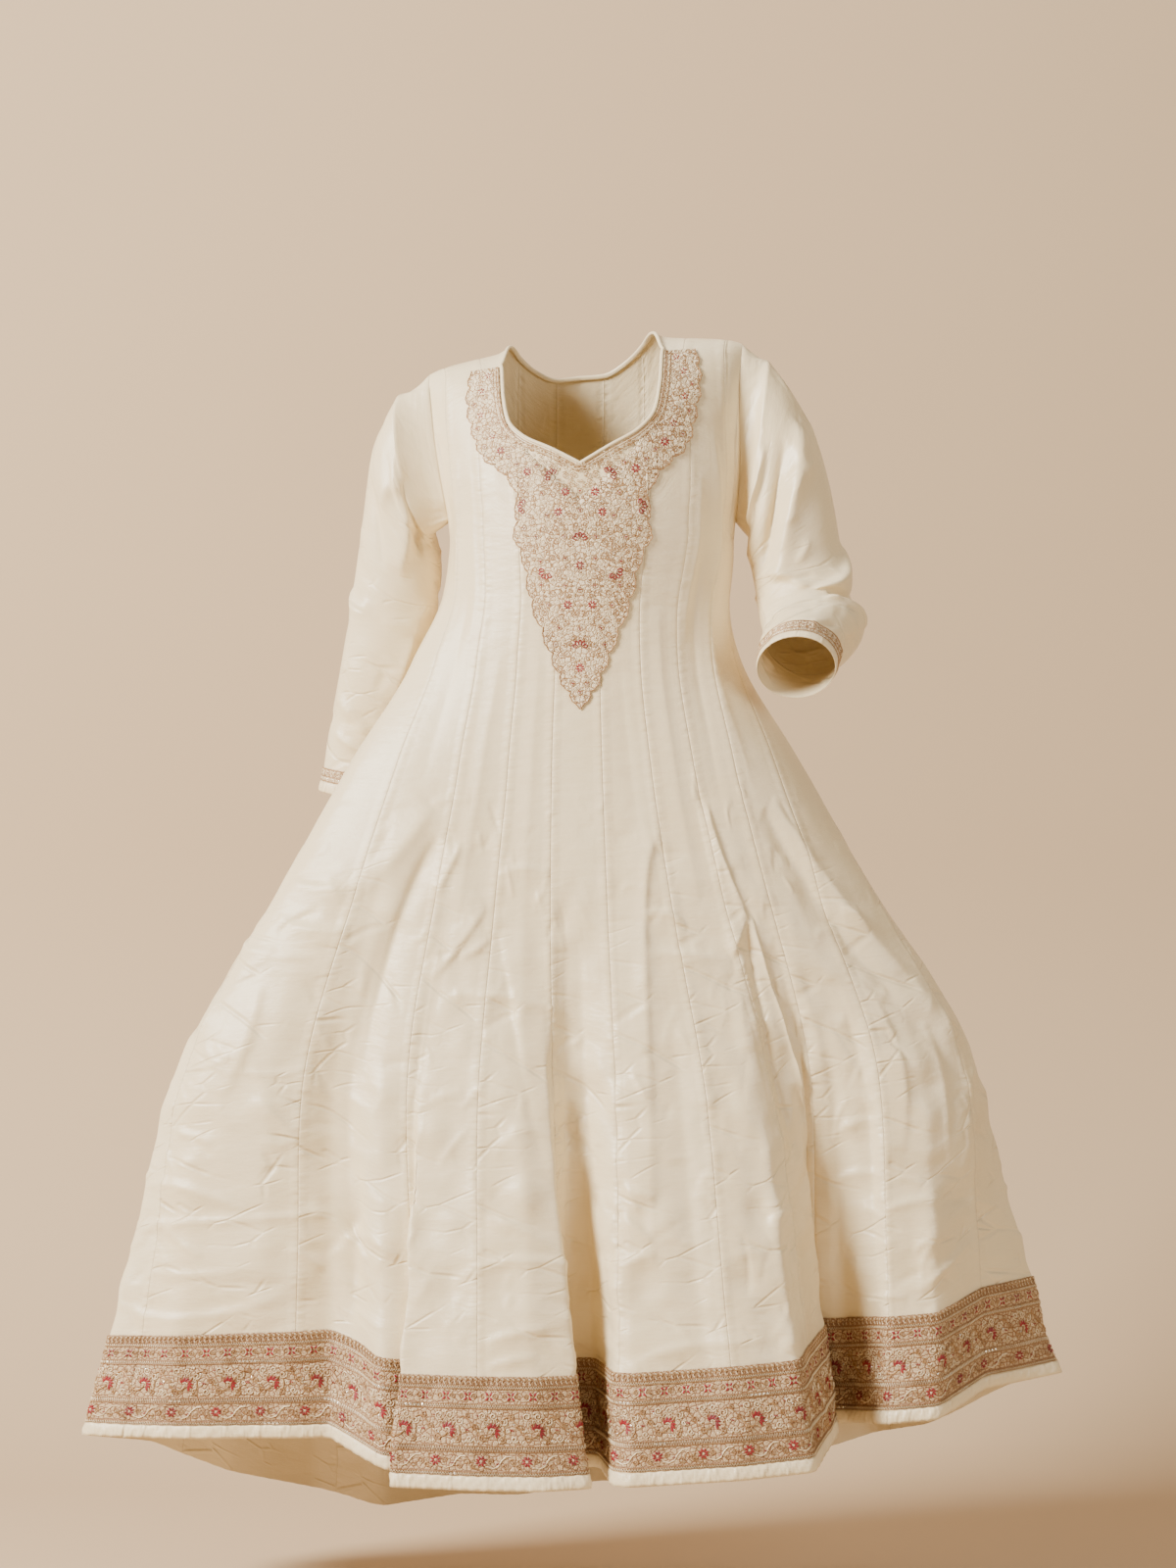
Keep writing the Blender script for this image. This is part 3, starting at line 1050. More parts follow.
def makeSleeve(label, rows, side):
    sleeve = {
        "around": 96,
        "steps": 150,
        "wrinkles": 46,
        "roughGirth": 0.24,
        "gathers": 26,
        "gatherRise": 0.0006,
        "gatherFade": 0.018,
        "headFade": 0.012,
        "lift": 0.0009,
        "edgePuff": 0.0008,
        "bandWall": 0.0006,
        "bandRows": 9,
    }
    last = len(rows)
    around = np.arange(sleeve["around"]) / sleeve["around"]
    levels = np.linspace(0, last, sleeve["steps"] + 1)
    points = sleeveForm(rows, side, around, levels)
    length = np.linalg.norm(np.diff(points.mean(1), axis=0), axis=-1)
    down = np.concatenate(([0], length.cumsum()))
    girth = np.linalg.norm(points - np.roll(points, -1, axis=1), axis=-1).sum(1)
    normals = gridNormals(points, closed=True, flip=side > 0)
    heights = np.zeros(points.shape[:2])
    for row in sleeveCreases[label]:
        path = [np.interp(row[k], levels, down) for k in (1, 3, 5)]
        addSleeveCrease(heights, around, down, girth, row, path)
    seeded = np.random.default_rng(11 + side)
    for _ in range(sleeve["wrinkles"]):
        u, d = seeded.uniform(0, 1), seeded.uniform(0.04, down[-1] - 0.02)
        lie, size = seeded.normal(0.1, 0.5), seeded.uniform(0.012, 0.04)
        du, dd = size / 2 * math.cos(lie) / sleeve["roughGirth"], size / 2 * math.sin(lie)
        depth = seeded.uniform(0.4, 1.2) * seeded.choice([1, -1])
        row = (u - du, 0, u, 0, u + du, 0, seeded.uniform(4, 8), depth, 0.3)
        addSleeveCrease(heights, around, down, girth, row, (d - dd, d + 0.002, d + dd))
    fade = np.exp(-down / sleeve["gatherFade"])[:, None]
    gather = fade * np.sin(2 * math.pi * around * sleeve["gathers"]) * sleeve["gatherRise"]
    heights = (heights + gather) * ease(down / sleeve["headFade"])[:, None]
    points = points + normals * heights[..., None]
    normals = gridNormals(points, closed=True, flip=side > 0)
    u = np.concatenate((around, [1.0]))[None] * girth.mean()
    cloth = np.stack(np.broadcast_arrays(u, -down[:, None]), -1)
    underarm = np.abs(np.concatenate((around, [1.0])) - 0.5)[None] * girth[:, None]
    fromSeam = np.minimum(underarm, down[:, None])
    tube = {"closed": True, "flip": side > 0}
    piece = addCloth(f"silk_sleeve_{label}", points, cloth, sleeveSilk, wall=0, fromSeam=fromSeam, **tube)
    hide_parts(f"sleeve_{label}")
    # the cut runs from the top of the sleeve head to the cuff, so its length is that of the longest line
    lines = np.linalg.norm(np.diff(points, axis=0), axis=-1).sum(0)
    round(gridArea(np.concatenate((points, points[:, :1]), 1)), 4)
    # bands follow the sleeve's own points, moved out
    bands = {}
    for kind, low, high, material in (
        ("band", last - 2, last - 1, cuffLace),
        ("edge", last - 1, last, hemSilk),
    ):
        count = sleeve["bandRows"]
        steps = np.linspace(low, high, count)
        places = np.interp(steps, levels, np.arange(len(levels)))
        i = np.minimum(places.astype(int), len(levels) - 2)
        part = (places - i)[:, None, None]
        grid = points[i] * (1 - part) + points[i + 1] * part
        out = unit(normals[i] * (1 - part) + normals[i + 1] * part)
        puff = sleeve["edgePuff"] * np.sin(math.pi * np.linspace(0, 1, count))
        lift = sleeve["lift"] + (puff if kind == "edge" else np.zeros(count))
        raised = grid + out * lift[:, None, None]
        deep = float(np.linalg.norm(np.diff(grid, axis=0), axis=-1).sum(0).mean())
        cloth = np.stack(np.broadcast_arrays(u, -np.linspace(0, deep, count)[:, None]), -1)
        name = f"sewn_cuff_{kind}_{label}"
        band = addCloth(name, raised, cloth, material, wall=sleeve["bandWall"], **tube)
        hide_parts(f"cuff_{kind}_{label}")
        "zari_embroidery" if kind == "band" else "silk"
        bands[kind] = (band, raised, out, float(girth[-1]), deep)
    return bands


def addSleeveCrease(heights, around, down, girth, row, depths):
    width, depth, skew = row[6] / 1000 * creases["tightness"], row[7] / 1000, row[8]
    ends = np.array([(row[0], depths[0]), (row[2], depths[1]), (row[4], depths[2])])
    places = np.linspace(0, 1, 11)[:, None]
    middle = 2 * ends[1] - (ends[0] + ends[2]) / 2
    path = ends[0] * (1 - places) ** 2 + 2 * middle * places * (1 - places) + ends[2] * places**2
    scale = girth[np.searchsorted(down, path[:, 1].mean()) % len(girth)]
    line = path * (scale, 1.0)
    turn = (around - path[:, 0].mean() + 0.5) % 1 - 0.5 + path[:, 0].mean()
    spot = np.stack(np.broadcast_arrays(turn[None] * scale, down[:, None]), -1)
    run = np.diff(line, axis=0)
    away = spot[..., None, :] - line[:-1]
    along = np.clip((away * run).sum(-1) / (run * run).sum(-1), 0, 1)
    gap = away - along[..., None] * run
    distance = np.linalg.norm(gap, axis=-1)
    best = distance.argmin(-1)[..., None]
    near = np.take_along_axis(distance, best, -1)[..., 0] / width
    side = np.sign(np.take_along_axis(gap[..., 0] * run[:, 1] - gap[..., 1] * run[:, 0], best, -1))[..., 0]
    part = (np.take_along_axis(along, best, -1) + best)[..., 0] / len(run)
    fade = np.sqrt(np.clip(np.sin(math.pi * np.clip(part, 0.0, 1.0)), 0, 1))
    heights += depth * creases["sleeveBoldness"] * creaseShape(near, side, skew) * fade


print("sleeves")
leftBands = makeSleeve("left", leftSleeveRows, -1)
rightBands = makeSleeve("right", rightSleeveRows, 1)


# The yoke.
yoke = {
    "lift": 0.0010,
    "wall": 0.0006,
    "inset": 0.003,
    "across": 20,
    "along": 420,
    "bend": 1.2,
    "lobe": 0.0046,
    "lobes": 34,
    "threadLift": 0.0001,
}


def frontPlace(x, z):
    # A place on the front of the gown, with its outward normal.
    def at(x, z):
        chest = chestPoint(*placeOnChest(x, np.maximum(z, form["ringZ"])))
        t = np.clip((z - form["ringZ"]) / (form["hemZ"] - form["ringZ"]), 0.0, 1.0)
        across = (x - sectionAt[6](t)) / sectionAt[1](t)
        side = np.where(across > 0, sectionAt[5](t), sectionAt[4](t)) * across**2
        lower = np.stack((x, side - sectionAt[2](t) * np.sqrt(np.clip(1 - across**2, 0, 1)), z), -1)
        return pose(np.where((z > form["ringZ"])[..., None], chest, lower))

    step = 0.002
    across = at(x + step, z) - at(x - step, z)
    down = at(x, z - step) - at(x, z + step)
    return at(x, z), unit(np.cross(down, across))


def yokeOutline(q):
    # Outer edge at q from the centre front (0) to the shoulder seam (1), with small lobes.
    x, z = (curveThrough(yokeRows, column)(q) for column in (1, 2))
    large = np.abs(np.sin(math.pi * q * yoke["lobes"] / 2)) ** 0.8
    small = np.abs(np.sin(math.pi * q * yoke["lobes"] * 1.5))
    bump = yoke["lobe"] * (large + 0.30 * small - 0.45) * ease(q / 0.05) * ease((1 - q) / 0.04)
    return x + bump, z - bump * 0.4


def neckline(q):
    s = form["neckPoint"] * q
    return curveThrough(frontEdgeRows, 1)(s), curveThrough(frontEdgeRows, 2)(s)


def makeYoke():
    q = np.linspace(-1, 1, yoke["along"] + 1)
    side = np.where(q < 0, -1.0, 1.0)
    innerX, innerZ = neckline(np.abs(q))
    outerX, outerZ = yokeOutline(np.abs(q))
    share = np.linspace(yoke["inset"] / 0.05, 1, yoke["across"] + 1)[:, None]
    # in the V the lines leave the neck downwards and meet the outer edge sideways
    bend = 1 + yoke["bend"] * ease((0.62 - np.abs(q)) / 0.3)
    x = side * (innerX + (outerX - innerX) * share**bend)
    z = innerZ + (outerZ - innerZ) * (1 - (1 - share) ** bend) - 0.002 * (1 - share)
    points, normals = frontPlace(x, z)
    raised = points + normals * (yoke["lift"] + yoke["wall"])
    cloth = np.stack((x, z), -1)
    piece = addCloth("sewn_yoke", raised, cloth, yokeLace, wall=yoke["wall"])
    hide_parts("yoke")
    return piece, gridArea(raised)


print("yoke")
yokePiece, yokeArea = makeYoke()


def makePiping():
    # A narrow bias strip folded over the neckline's edge.
    wall = 0.0004
    limit = form["neckPoint"]
    front = aroundS[(np.abs(aroundS) <= limit + 1e-9)]
    back = aroundS[(np.abs(aroundS - 9) < limit - 1e-9)]
    places = np.concatenate((front, back))
    edge = bodyPoint(places, np.full(len(places), -1.0))
    below = bodyPoint(places, np.full(len(places), -0.96))
    along = unit(np.roll(edge, -1, axis=0) - np.roll(edge, 1, axis=0))
    beside = np.full(len(places), -0.99)
    step = bodyPoint(places + 0.01, beside) - bodyPoint(places - 0.01, beside)
    out = unit(np.cross(below - edge, step))
    into = unit(np.cross(out, along))
    profile = [(-0.0012, 0.0012), (0.0000, 0.0017), (0.0012, 0.0015), (0.0020, 0.0007)]
    profile += [(0.0022, 0.0), (0.0019, -0.0008), (0.0008, -0.0013), (-0.0012, -0.0012), (-0.0034, -0.0011)]
    points = np.array([edge + into * rise + out * lift for rise, lift in profile])
    cloth = clothPlaces(np.concatenate((points, points[:, :1]), 1))
    piece = addCloth("silk_neck_piping", points, cloth, silkMaterial, wall=wall, closed=True)
    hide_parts("neck_piping")
    length = float(np.linalg.norm(edge - np.roll(edge, -1, axis=0), axis=-1).sum())
    across = float(np.linalg.norm(np.diff(points, axis=0), axis=-1).sum(0).mean())


makePiping()


# Embroidery.
class Stitching:
    # Gathers raised threads and petals, laid on a surface, into one piece for each thread.
    def __init__(self, surface):
        self.surface = surface  # (u, w) arrays to points and normals
        self.points = {}
        self.faces = {}

    def store(self, kind, points, faces):
        base = sum(len(block) for block in self.points.get(kind, []))
        self.points.setdefault(kind, []).append(points)
        self.faces.setdefault(kind, []).append(np.asarray(faces) + base)

    def thread(self, kind, path, width, height=0.0005):
        # A cord with a ridge: three points across at each step.
        path = np.asarray(path, float)
        run = unit(np.gradient(path, axis=0))
        side = np.stack((-run[:, 1], run[:, 0]), -1) * width / 2
        places = np.stack((path - side, path, path + side), 1)
        points, normals = self.surface(places[..., 0], places[..., 1])
        rise = np.array((0.0, height, 0.0))[None, :, None]
        points = points + normals * (rise + 0.00005)
        n = len(path)
        index = np.arange(n * 3).reshape(n, 3)
        left = np.stack((index[:-1, 0], index[:-1, 1], index[1:, 1], index[1:, 0]), -1)
        right = np.stack((index[:-1, 1], index[:-1, 2], index[1:, 2], index[1:, 1]), -1)
        self.store(kind, points.reshape(-1, 3), np.concatenate((left, right)))

    def petal(self, kind, centre, length, width, lie, height=0.0009):
        # A small padded satin-stitch leaf: a ring of six points and a raised spine.
        ring = [(-0.5, 0), (-0.2, 0.42), (0.2, 0.42), (0.5, 0), (0.2, -0.42), (-0.2, -0.42)]
        along, across = (np.array(ring + [(0.02, 0)]) * (length, width)).T
        cos, sin = math.cos(lie), math.sin(lie)
        turned = np.stack((along * cos - across * sin, along * sin + across * cos), -1)
        places = np.asarray(centre) + turned
        points, normals = self.surface(places[:, 0], places[:, 1])
        rise = np.array([0, 0, 0, 0, 0, 0, height])[:, None] + 0.0001
        faces = [(k, 6, (k + 1) % 6, (k + 1) % 6) for k in range(6)]
        self.store(kind, points + normals * rise, faces)

    def pieces(self, name, materials, slot="zari_embroidery"):
        made = []
        for kind, blocks in self.points.items():
            mesh = bpy.data.meshes.new(f"{name}_{kind}")
            corners = np.concatenate(self.faces[kind]).tolist()
            faces = [[i for k, i in enumerate(face) if k == 0 or i != face[k - 1]] for face in corners]
            mesh.from_pydata(np.concatenate(blocks).tolist(), [], faces)
            mesh.materials.append(materials[kind])
            mesh.shade_smooth()
            piece = bpy.data.objects.new(f"{name}_{kind}", mesh)
            bpy.context.scene.collection.objects.link(piece)
            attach(piece, "root")
            made.append(piece)
        return made


threads = {"gold": goldThread, "pale": paleThread, "red": redThread, "sequins": sequinMaterial}


def placeRound(centre, radius, angle):
    return centre[0] + radius * math.cos(angle), centre[1] + radius * math.sin(angle)


def circle(centre, radius, steps=10, start=0.0, turn=2 * math.pi):
    angle = start + np.linspace(0, turn, steps + 1)
    return np.stack((centre[0] + radius * np.cos(angle), centre[1] + radius * np.sin(angle)), -1)


def curl(centre, radius, start, hand=1, turns=1.3, steps=14):
    # A tendril that winds inwards.
    part = np.linspace(0, 1, steps + 1)
    angle = start + hand * part * turns * 2 * math.pi
    size = radius * (1 - 0.78 * part)
    return np.stack((centre[0] + size * np.cos(angle), centre[1] + size * np.sin(angle)), -1)


def zigzag(first, last, middle, height, pitch):
    count = max(int(round((last - first) / pitch)), 1) * 2
    u = np.linspace(first, last, count + 1)
    w = middle + height / 2 * np.where(np.arange(count + 1) % 2, 1, -1)
    return np.stack((u, w), -1)


def rosette(work, centre, radius, petals=8, lie=0.0):
    for k in range(petals):
        angle = lie + 2 * math.pi * k / petals
        spot = placeRound(centre, radius * 0.62, angle)
        work.petal("red", spot, radius * 0.80, radius * 0.38, angle)
    work.thread("pale", circle(centre, radius * 0.14, 6), 0.0008)
    for k in range(petals):
        angle = lie + 2 * math.pi * (k + 0.5) / petals
        spot = placeRound(centre, radius * 1.30, angle)
        work.thread("gold", circle(spot, radius * 0.34, 6, angle - 1.9, 3.8), 0.0007)


def halfLotus(work, centre, radius, lie, petals=5):
    # A crown of hollow red petals in a half ring.
    for k in range(petals):
        angle = lie + math.radians(-72 + 144 * k / (petals - 1))
        spot = np.array(placeRound(centre, radius * 0.70, angle))
        turn = np.linspace(-2.7, 2.7, 10)
        loop = np.stack((0.36 * radius * np.cos(turn), 0.21 * radius * np.sin(turn)), -1)
        cos, sin = math.cos(angle), math.sin(angle)
        work.thread("red", spot + loop @ np.array(((cos, sin), (-sin, cos))), 0.0013, 0.0009)
        edge = placeRound(centre, radius * 1.26, angle)
        work.thread("gold", circle(edge, radius * 0.24, 5, angle - 1.7, 3.4), 0.0007)
    work.thread("gold", circle(centre, radius * 0.24, 6, lie - 1.6, 3.2), 0.0008)


def comb(work, centre, radius, lie, petals=7):
    # A half flower of slanting red petals, each edged with cream.
    for k in range(petals):
        angle = lie + math.radians(-88 + 176 * k / (petals - 1))
        spot = placeRound(centre, radius * 0.66, angle)
        work.petal("red", spot, radius * 0.78, radius * 0.29, angle + 0.5)
        edge = placeRound(centre, radius * 1.18, angle)
        work.thread("pale", circle(edge, radius * 0.20, 5, angle - 1.7, 3.4), 0.0007)
    work.thread("pale", circle(centre, radius * 0.30, 6, lie - 1.6, 3.2), 0.0010)
    work.thread("gold", circle(centre, radius * 1.45, 14, lie - 1.6, 3.2), 0.0008)


def trefoil(work, centre, size, lie):
    for turn in (-0.75, 0.0, 0.75):
        spot = placeRound(centre, size, lie + turn)
        work.petal("red", spot, size * 1.1, size * 0.6, lie + turn)


def gridSurface(points, normals, lengths, depth, lift):
    # A surface laid out by metres along its middle row and metres down.
    edges = np.concatenate(([0], lengths.cumsum()))
    rows = len(points)
    closedPoints = np.concatenate((points, points[:, :1]), 1)
    closedNormals = np.concatenate((normals, normals[:, :1]), 1)

    def at(u, w):
        column = np.interp(np.mod(u, edges[-1]), edges, np.arange(len(edges)))
        row = np.clip(w / depth, 0, 1) * (rows - 1)
        i = np.minimum(row.astype(int), rows - 2)
        j = np.minimum(column.astype(int), closedPoints.shape[1] - 2)
        a, b = (row - i)[..., None], (column - j)[..., None]

        def mix(grid):
            top = grid[i, j] * (1 - b) + grid[i, j + 1] * b
            return top * (1 - a) + (grid[i + 1, j] * (1 - b) + grid[i + 1, j + 1] * b) * a

        out = unit(mix(closedNormals))
        return mix(closedPoints) + out * lift, out

    return at, float(edges[-1])


def sewBorder():
    # Down the border: ring loops, braid, florets, braid, scrolls, braid, rosettes, braid.
    border = {
        "unit": 0.050,
        "rings": 8,
        "braids": ((0.0125, 0.0036), (0.0335, 0.0042), (0.0802, 0.0062), (0.1078, 0.0036)),
        "floret": 0.0222,
        "lift": 0.0019,
    }
    points, normals = hemRows(0.0, form["borderHeight"], 44)
    surface, length = gridSurface(points, normals, hemLength(points), form["borderHeight"], border["lift"])
    work = Stitching(surface)
    units = int(round(length / border["unit"]))
    size = length / units
    drawn = np.random.default_rng(5)
    for k in range(units):
        u = k * size
        for ring in range(border["rings"]):
            at = u + (ring + 0.5) * size / border["rings"]
            work.thread("gold", circle((at, 0.0030), 0.0023, 9), 0.0010)
            work.thread("pale", circle((at, 0.0030), 0.0009, 5), 0.0007)
            work.thread("pale", [(at, 0.0054), (at, 0.0072), (at + 0.0014, 0.0092)], 0.0009)
            between = at + size / border["rings"] / 2
            work.thread("gold", [(between, 0.0062), (between, 0.0096)], 0.0009)
        for middle, height in border["braids"]:
            for rail in (-0.5, 0.5):
                line = np.linspace(u, u + size, 11)
                work.thread("gold", np.stack((line, line * 0 + middle + rail * height), -1), 0.0008)
            work.thread("pale", zigzag(u, u + size, middle, height * 0.75, 0.0028), 0.0009)
        for spot in (0.25, 0.75):
            middle, level = u + size * spot, border["floret"]
            for a in (-1, 1):
                for b in (-1, 1):
                    place = (middle + a * 0.0025, level + b * 0.0026)
                    work.petal("red", place, 0.0048, 0.0030, math.atan2(b, a))
            for turn in (-1, 1):
                beside = (middle + turn * 0.0074, level)
                start = math.pi if turn > 0 else 0
                work.thread("gold", curl(beside, 0.0034, start, turn), 0.0009)
                work.thread("pale", circle(beside, 0.0042, 8, 1.5 * turn, 3.0), 0.0007)
        # the wide band: a running vine with curls, half lotuses, trefoils and dots
        along = np.linspace(0, 1, 33)
        vine = np.stack((u + along * size, 0.0560 + 0.0115 * np.sin(2 * math.pi * along + 0.6)), -1)
        work.thread("gold", vine, 0.0013, 0.0008)
        comb(work, (u + size * 0.30, 0.0605), 0.0098, -0.75)
        trefoil(work, (u + size * 0.74, 0.0610), 0.0023, -1.5)
        trefoil(work, (u + size * 0.98, 0.0450), 0.0017, -1.5)
        for place, w, radius, start, hand in (
            (0.10, 0.0440, 0.0046, 1.6, 1),
            (0.10, 0.0680, 0.0044, -1.6, -1),
            (0.34, 0.0438, 0.0042, 0.4, 1),
            (0.52, 0.0690, 0.0046, 2.2, -1),
            (0.56, 0.0500, 0.0048, -0.8, 1),
            (0.74, 0.0432, 0.0036, 2.8, -1),
            (0.80, 0.0690, 0.0040, 0.2, 1),
            (0.90, 0.0560, 0.0044, 1.2, -1),
            (0.66, 0.0590, 0.0026, 0.0, 1),
            (0.20, 0.0530, 0.0026, 2.0, -1),
        ):
            tendril = curl((u + size * place, w), radius, start, hand)
            work.thread("pale" if hand > 0 else "gold", tendril, 0.0011, 0.0007)
        leaves = [(0.02, 0.060), (0.22, 0.0398), (0.46, 0.0402)]
        leaves += [(0.44, 0.0725), (0.68, 0.0722), (0.96, 0.0722)]
        for place, w in leaves:
            for turn in (-1, 1):
                lie = 1.57 + turn * 0.7
                spot = (u + size * place + turn * 0.0014, w)
                work.petal("pale", spot, 0.0034, 0.0016, lie)
        # the lower band: rosettes and buds on an S-shaped stem
        rosette(work, (u + size * 0.05, 0.0935), 0.0064, lie=math.pi / 8)
        bud = (u + size * 0.42, 0.0975)
        trefoil(work, bud, 0.0019, -1.57)
        stem = [(0.16, 0.0990), (0.30, 0.1015), (0.42, 0.0990)]
        stem += [(0.50, 0.0925), (0.60, 0.0880), (0.72, 0.0876)]
        work.thread("pale", np.array(stem) * (size, 1) + (u, 0), 0.0012, 0.0007)
        for place, w, radius, start, hand in (
            (0.27, 0.0925, 0.0036, 2.0, 1),
            (0.56, 0.0985, 0.0036, -1.0, 1),
            (0.72, 0.0940, 0.0042, 1.0, -1),
            (0.86, 0.0985, 0.0030, 0.4, 1),
        ):
            work.thread("gold", curl((u + size * place, w), radius, start, hand), 0.0010)
        # sequins in short runs on the braids
        if drawn.uniform() < 0.62:
            middle, height = border["braids"][drawn.integers(1, 4)]
            start = u + drawn.uniform(0, size * 0.6)
            for count in range(drawn.integers(2, 6)):
                work.petal("sequins", (start + count * 0.0046, middle), 0.0030, 0.0030, 0.3, 0.0006)
        for _ in range(2):
            place = (u + drawn.uniform(0, size), drawn.uniform(0.040, 0.073))
            work.petal("sequins", place, 0.0024, 0.0024, 0.0, 0.0006)
    return work.pieces("border", threads)


print("border embroidery")
borderThreads = sewBorder()
for (kind, face), (piece, size) in hemPieces.items():
    rests = ["silk_" + kaliName(k) for k in (range(9) if face == "front" else range(9, 18))]
    carried = borderThreads if (kind, face) == ("border", "front") else []


motifs = {
    # half of the yoke: x and z in metres; the other half mirrors it
    "rosettes": [
        (0.017, -0.171), (0.025, -0.194), (0.0, -0.255), (0.014, -0.300),
        (0.0, -0.372), (0.062, -0.145), (0.094, -0.116),
    ],
    "lotuses": [
        # x, z, lie in degrees
        (0.032, -0.152, 45),
        (0.065, -0.187, 5),
        (0.0, -0.226, 90),
        (0.039, -0.262, -55),
        (0.0, -0.349, 90),
    ],
    "crosses": [(0.104, -0.096), (0.118, -0.066), (0.117, -0.036), (0.109, -0.018)],
    "dots": [
        (0.0, -0.170), (0.0, -0.192), (0.044, -0.172), (0.038, -0.198), (0.051, -0.222), (0.018, -0.222),
        (0.046, -0.250), (0.017, -0.247), (0.045, -0.277), (0.036, -0.300), (0.017, -0.278), (0.0, -0.283),
        (0.0, -0.327), (0.024, -0.326), (0.0, -0.400), (0.008, -0.390), (0.066, -0.212), (0.074, -0.135),
        (0.050, -0.138), (0.084, -0.124), (0.114, -0.108), (0.122, -0.083), (0.126, -0.052), (0.028, -0.345),
    ],
}


yokeEdge = dict(zip(("outX", "outZ"), yokeOutline(np.linspace(0, 1, 300))))
yokeEdge.update(zip(("inX", "inZ"), neckline(np.linspace(0, 1, 300))))


def yokeShare(x, z):
    # Room inside the yoke's outline at a place, going across.
    outside = np.interp(z, yokeEdge["outZ"], yokeEdge["outX"], left=0.0)
    if z < yokeEdge["inZ"][0]:
        return outside - abs(x)
    return min(outside - abs(x), abs(x) - np.interp(z, yokeEdge["inZ"], yokeEdge["inX"]) - 0.009)


def sewYoke():
    work = Stitching(yokeSurface)
    taken = []
    for side in (-1, 1):
        for x, z in motifs["rosettes"]:
            if x or side > 0:
                rosette(work, (side * x, z), 0.0054, lie=math.pi / 8)
                taken.append((side * x, z, 0.0088))
        for x, z, lie in motifs["lotuses"]:
            if x or side > 0:
                turn = math.radians(lie if side > 0 else 180 - lie)
                halfLotus(work, (side * x, z), 0.0082, turn)
                taken.append((side * x, z, 0.0090))
        for x, z in motifs["crosses"]:
            rosette(work, (side * x, z), 0.0042, petals=5, lie=0.4)
            taken.append((side * x, z, 0.0066))
        for x, z in motifs["dots"]:
            if x or side > 0:
                for turn in range(3):
                    angle = 2.1 * turn + 0.5
                    work.petal("red", placeRound((side * x, z), 0.0010, angle), 0.0020, 0.0012, angle)
                work.thread("gold", circle((side * x, z), 0.0031, 8), 0.0009)
                for turn in range(6):
                    angle = turn * math.pi / 3 + 0.3
                    spot = placeRound((side * x, z), 0.0046, angle)
                    work.thread("pale", circle(spot, 0.0014, 5, angle - 1.8, 3.6), 0.0007)
                taken.append((side * x, z, 0.0060))
    fillYoke(work, taken)
    braidNeck(work)
    return work.pieces("yoke", threads)


def yokeSurface(x, z):
    # The yoke's outer face, for the threads to lie on.
    points, normals = frontPlace(np.asarray(x, float), np.asarray(z, float))
    return points + normals * (yoke["lift"] + yoke["wall"] + yoke["threadLift"]), normals


def fillYoke(work, taken):
    # Curls, leaves and small rings between the flowers, the same on both halves.
    drawn = np.random.default_rng(21)
    spots = []
    for radius, tries in ((0.0042, 2600), (0.0028, 5200), (0.0017, 7000)):
        for _ in range(tries):
            x, z = drawn.uniform(0, 0.136), drawn.uniform(-0.418, -0.010)
            if yokeShare(x, z) < radius + 0.0004:
                continue
            if any((x - a) ** 2 + (z - b) ** 2 < (radius + c) ** 2 * 0.80 for a, b, c in taken):
                continue
            if 0 < x < radius:
                continue
            taken.append((x, z, radius))
            spots.append((x, z, radius, drawn.uniform(0, 6.28), drawn.choice([-1, 1])))
    for x, z, radius, start, hand in spots:
        for side in (-1, 1):
            kind = "gold" if (radius > 0.002) == (hand > 0) else "pale"
            angle = start if side > 0 else math.pi - start
            if radius > 0.004:
                work.thread(kind, curl((side * x, z), radius, angle, hand * side, 1.4, 15), 0.0010)
                for turn in (0.6, 1.5):
                    lie = angle + turn * hand * side
                    spot = placeRound((side * x, z), radius * 1.15, lie)
                    work.petal("pale", spot, 0.0030, 0.0014, lie + 0.8)
            elif radius > 0.002:
                work.thread(kind, curl((side * x, z), radius, angle, hand * side, 1.1, 10), 0.0009)
            else:
                work.thread(kind, circle((side * x, z), radius * 0.75, 6), 0.0008)
        if drawn.uniform() < 0.06:
            work.petal("sequins", (x, z), 0.0022, 0.0022, 0.0, 0.0006)


def braidNeck(work):
    # Two rails and short cross stitches beside the piping, and the yoke's corded outline.
    q = np.linspace(-1, 1, 360)
    side = np.where(q < 0, -1.0, 1.0)
    x, z = neckline(np.abs(q))
    path = np.stack((side * x, z), -1)
    run = unit(np.gradient(path, axis=0))
    away = np.stack((run[:, 1], -run[:, 0]), -1)
    for offset in (0.0036, 0.0058, 0.0098):
        work.thread("gold", path + away * offset, 0.0010, 0.0007)
    middle = path + away * 0.0078
    steps = np.arange(0, len(path), 3)
    swing = away[steps] * 0.0015
    cross = np.where((np.arange(len(steps)) % 2)[:, None], middle[steps] + swing, middle[steps] - swing)
    work.thread("pale", cross, 0.0010, 0.0006)
    q = np.linspace(-1, 1, 420)
    outX, outZ = yokeOutline(np.abs(q))
    outline = np.stack((np.where(q < 0, -1, 1) * outX, outZ), -1)
    work.thread("gold", outline, 0.0013, 0.0008)


print("yoke embroidery")
yokeThreads = sewYoke()


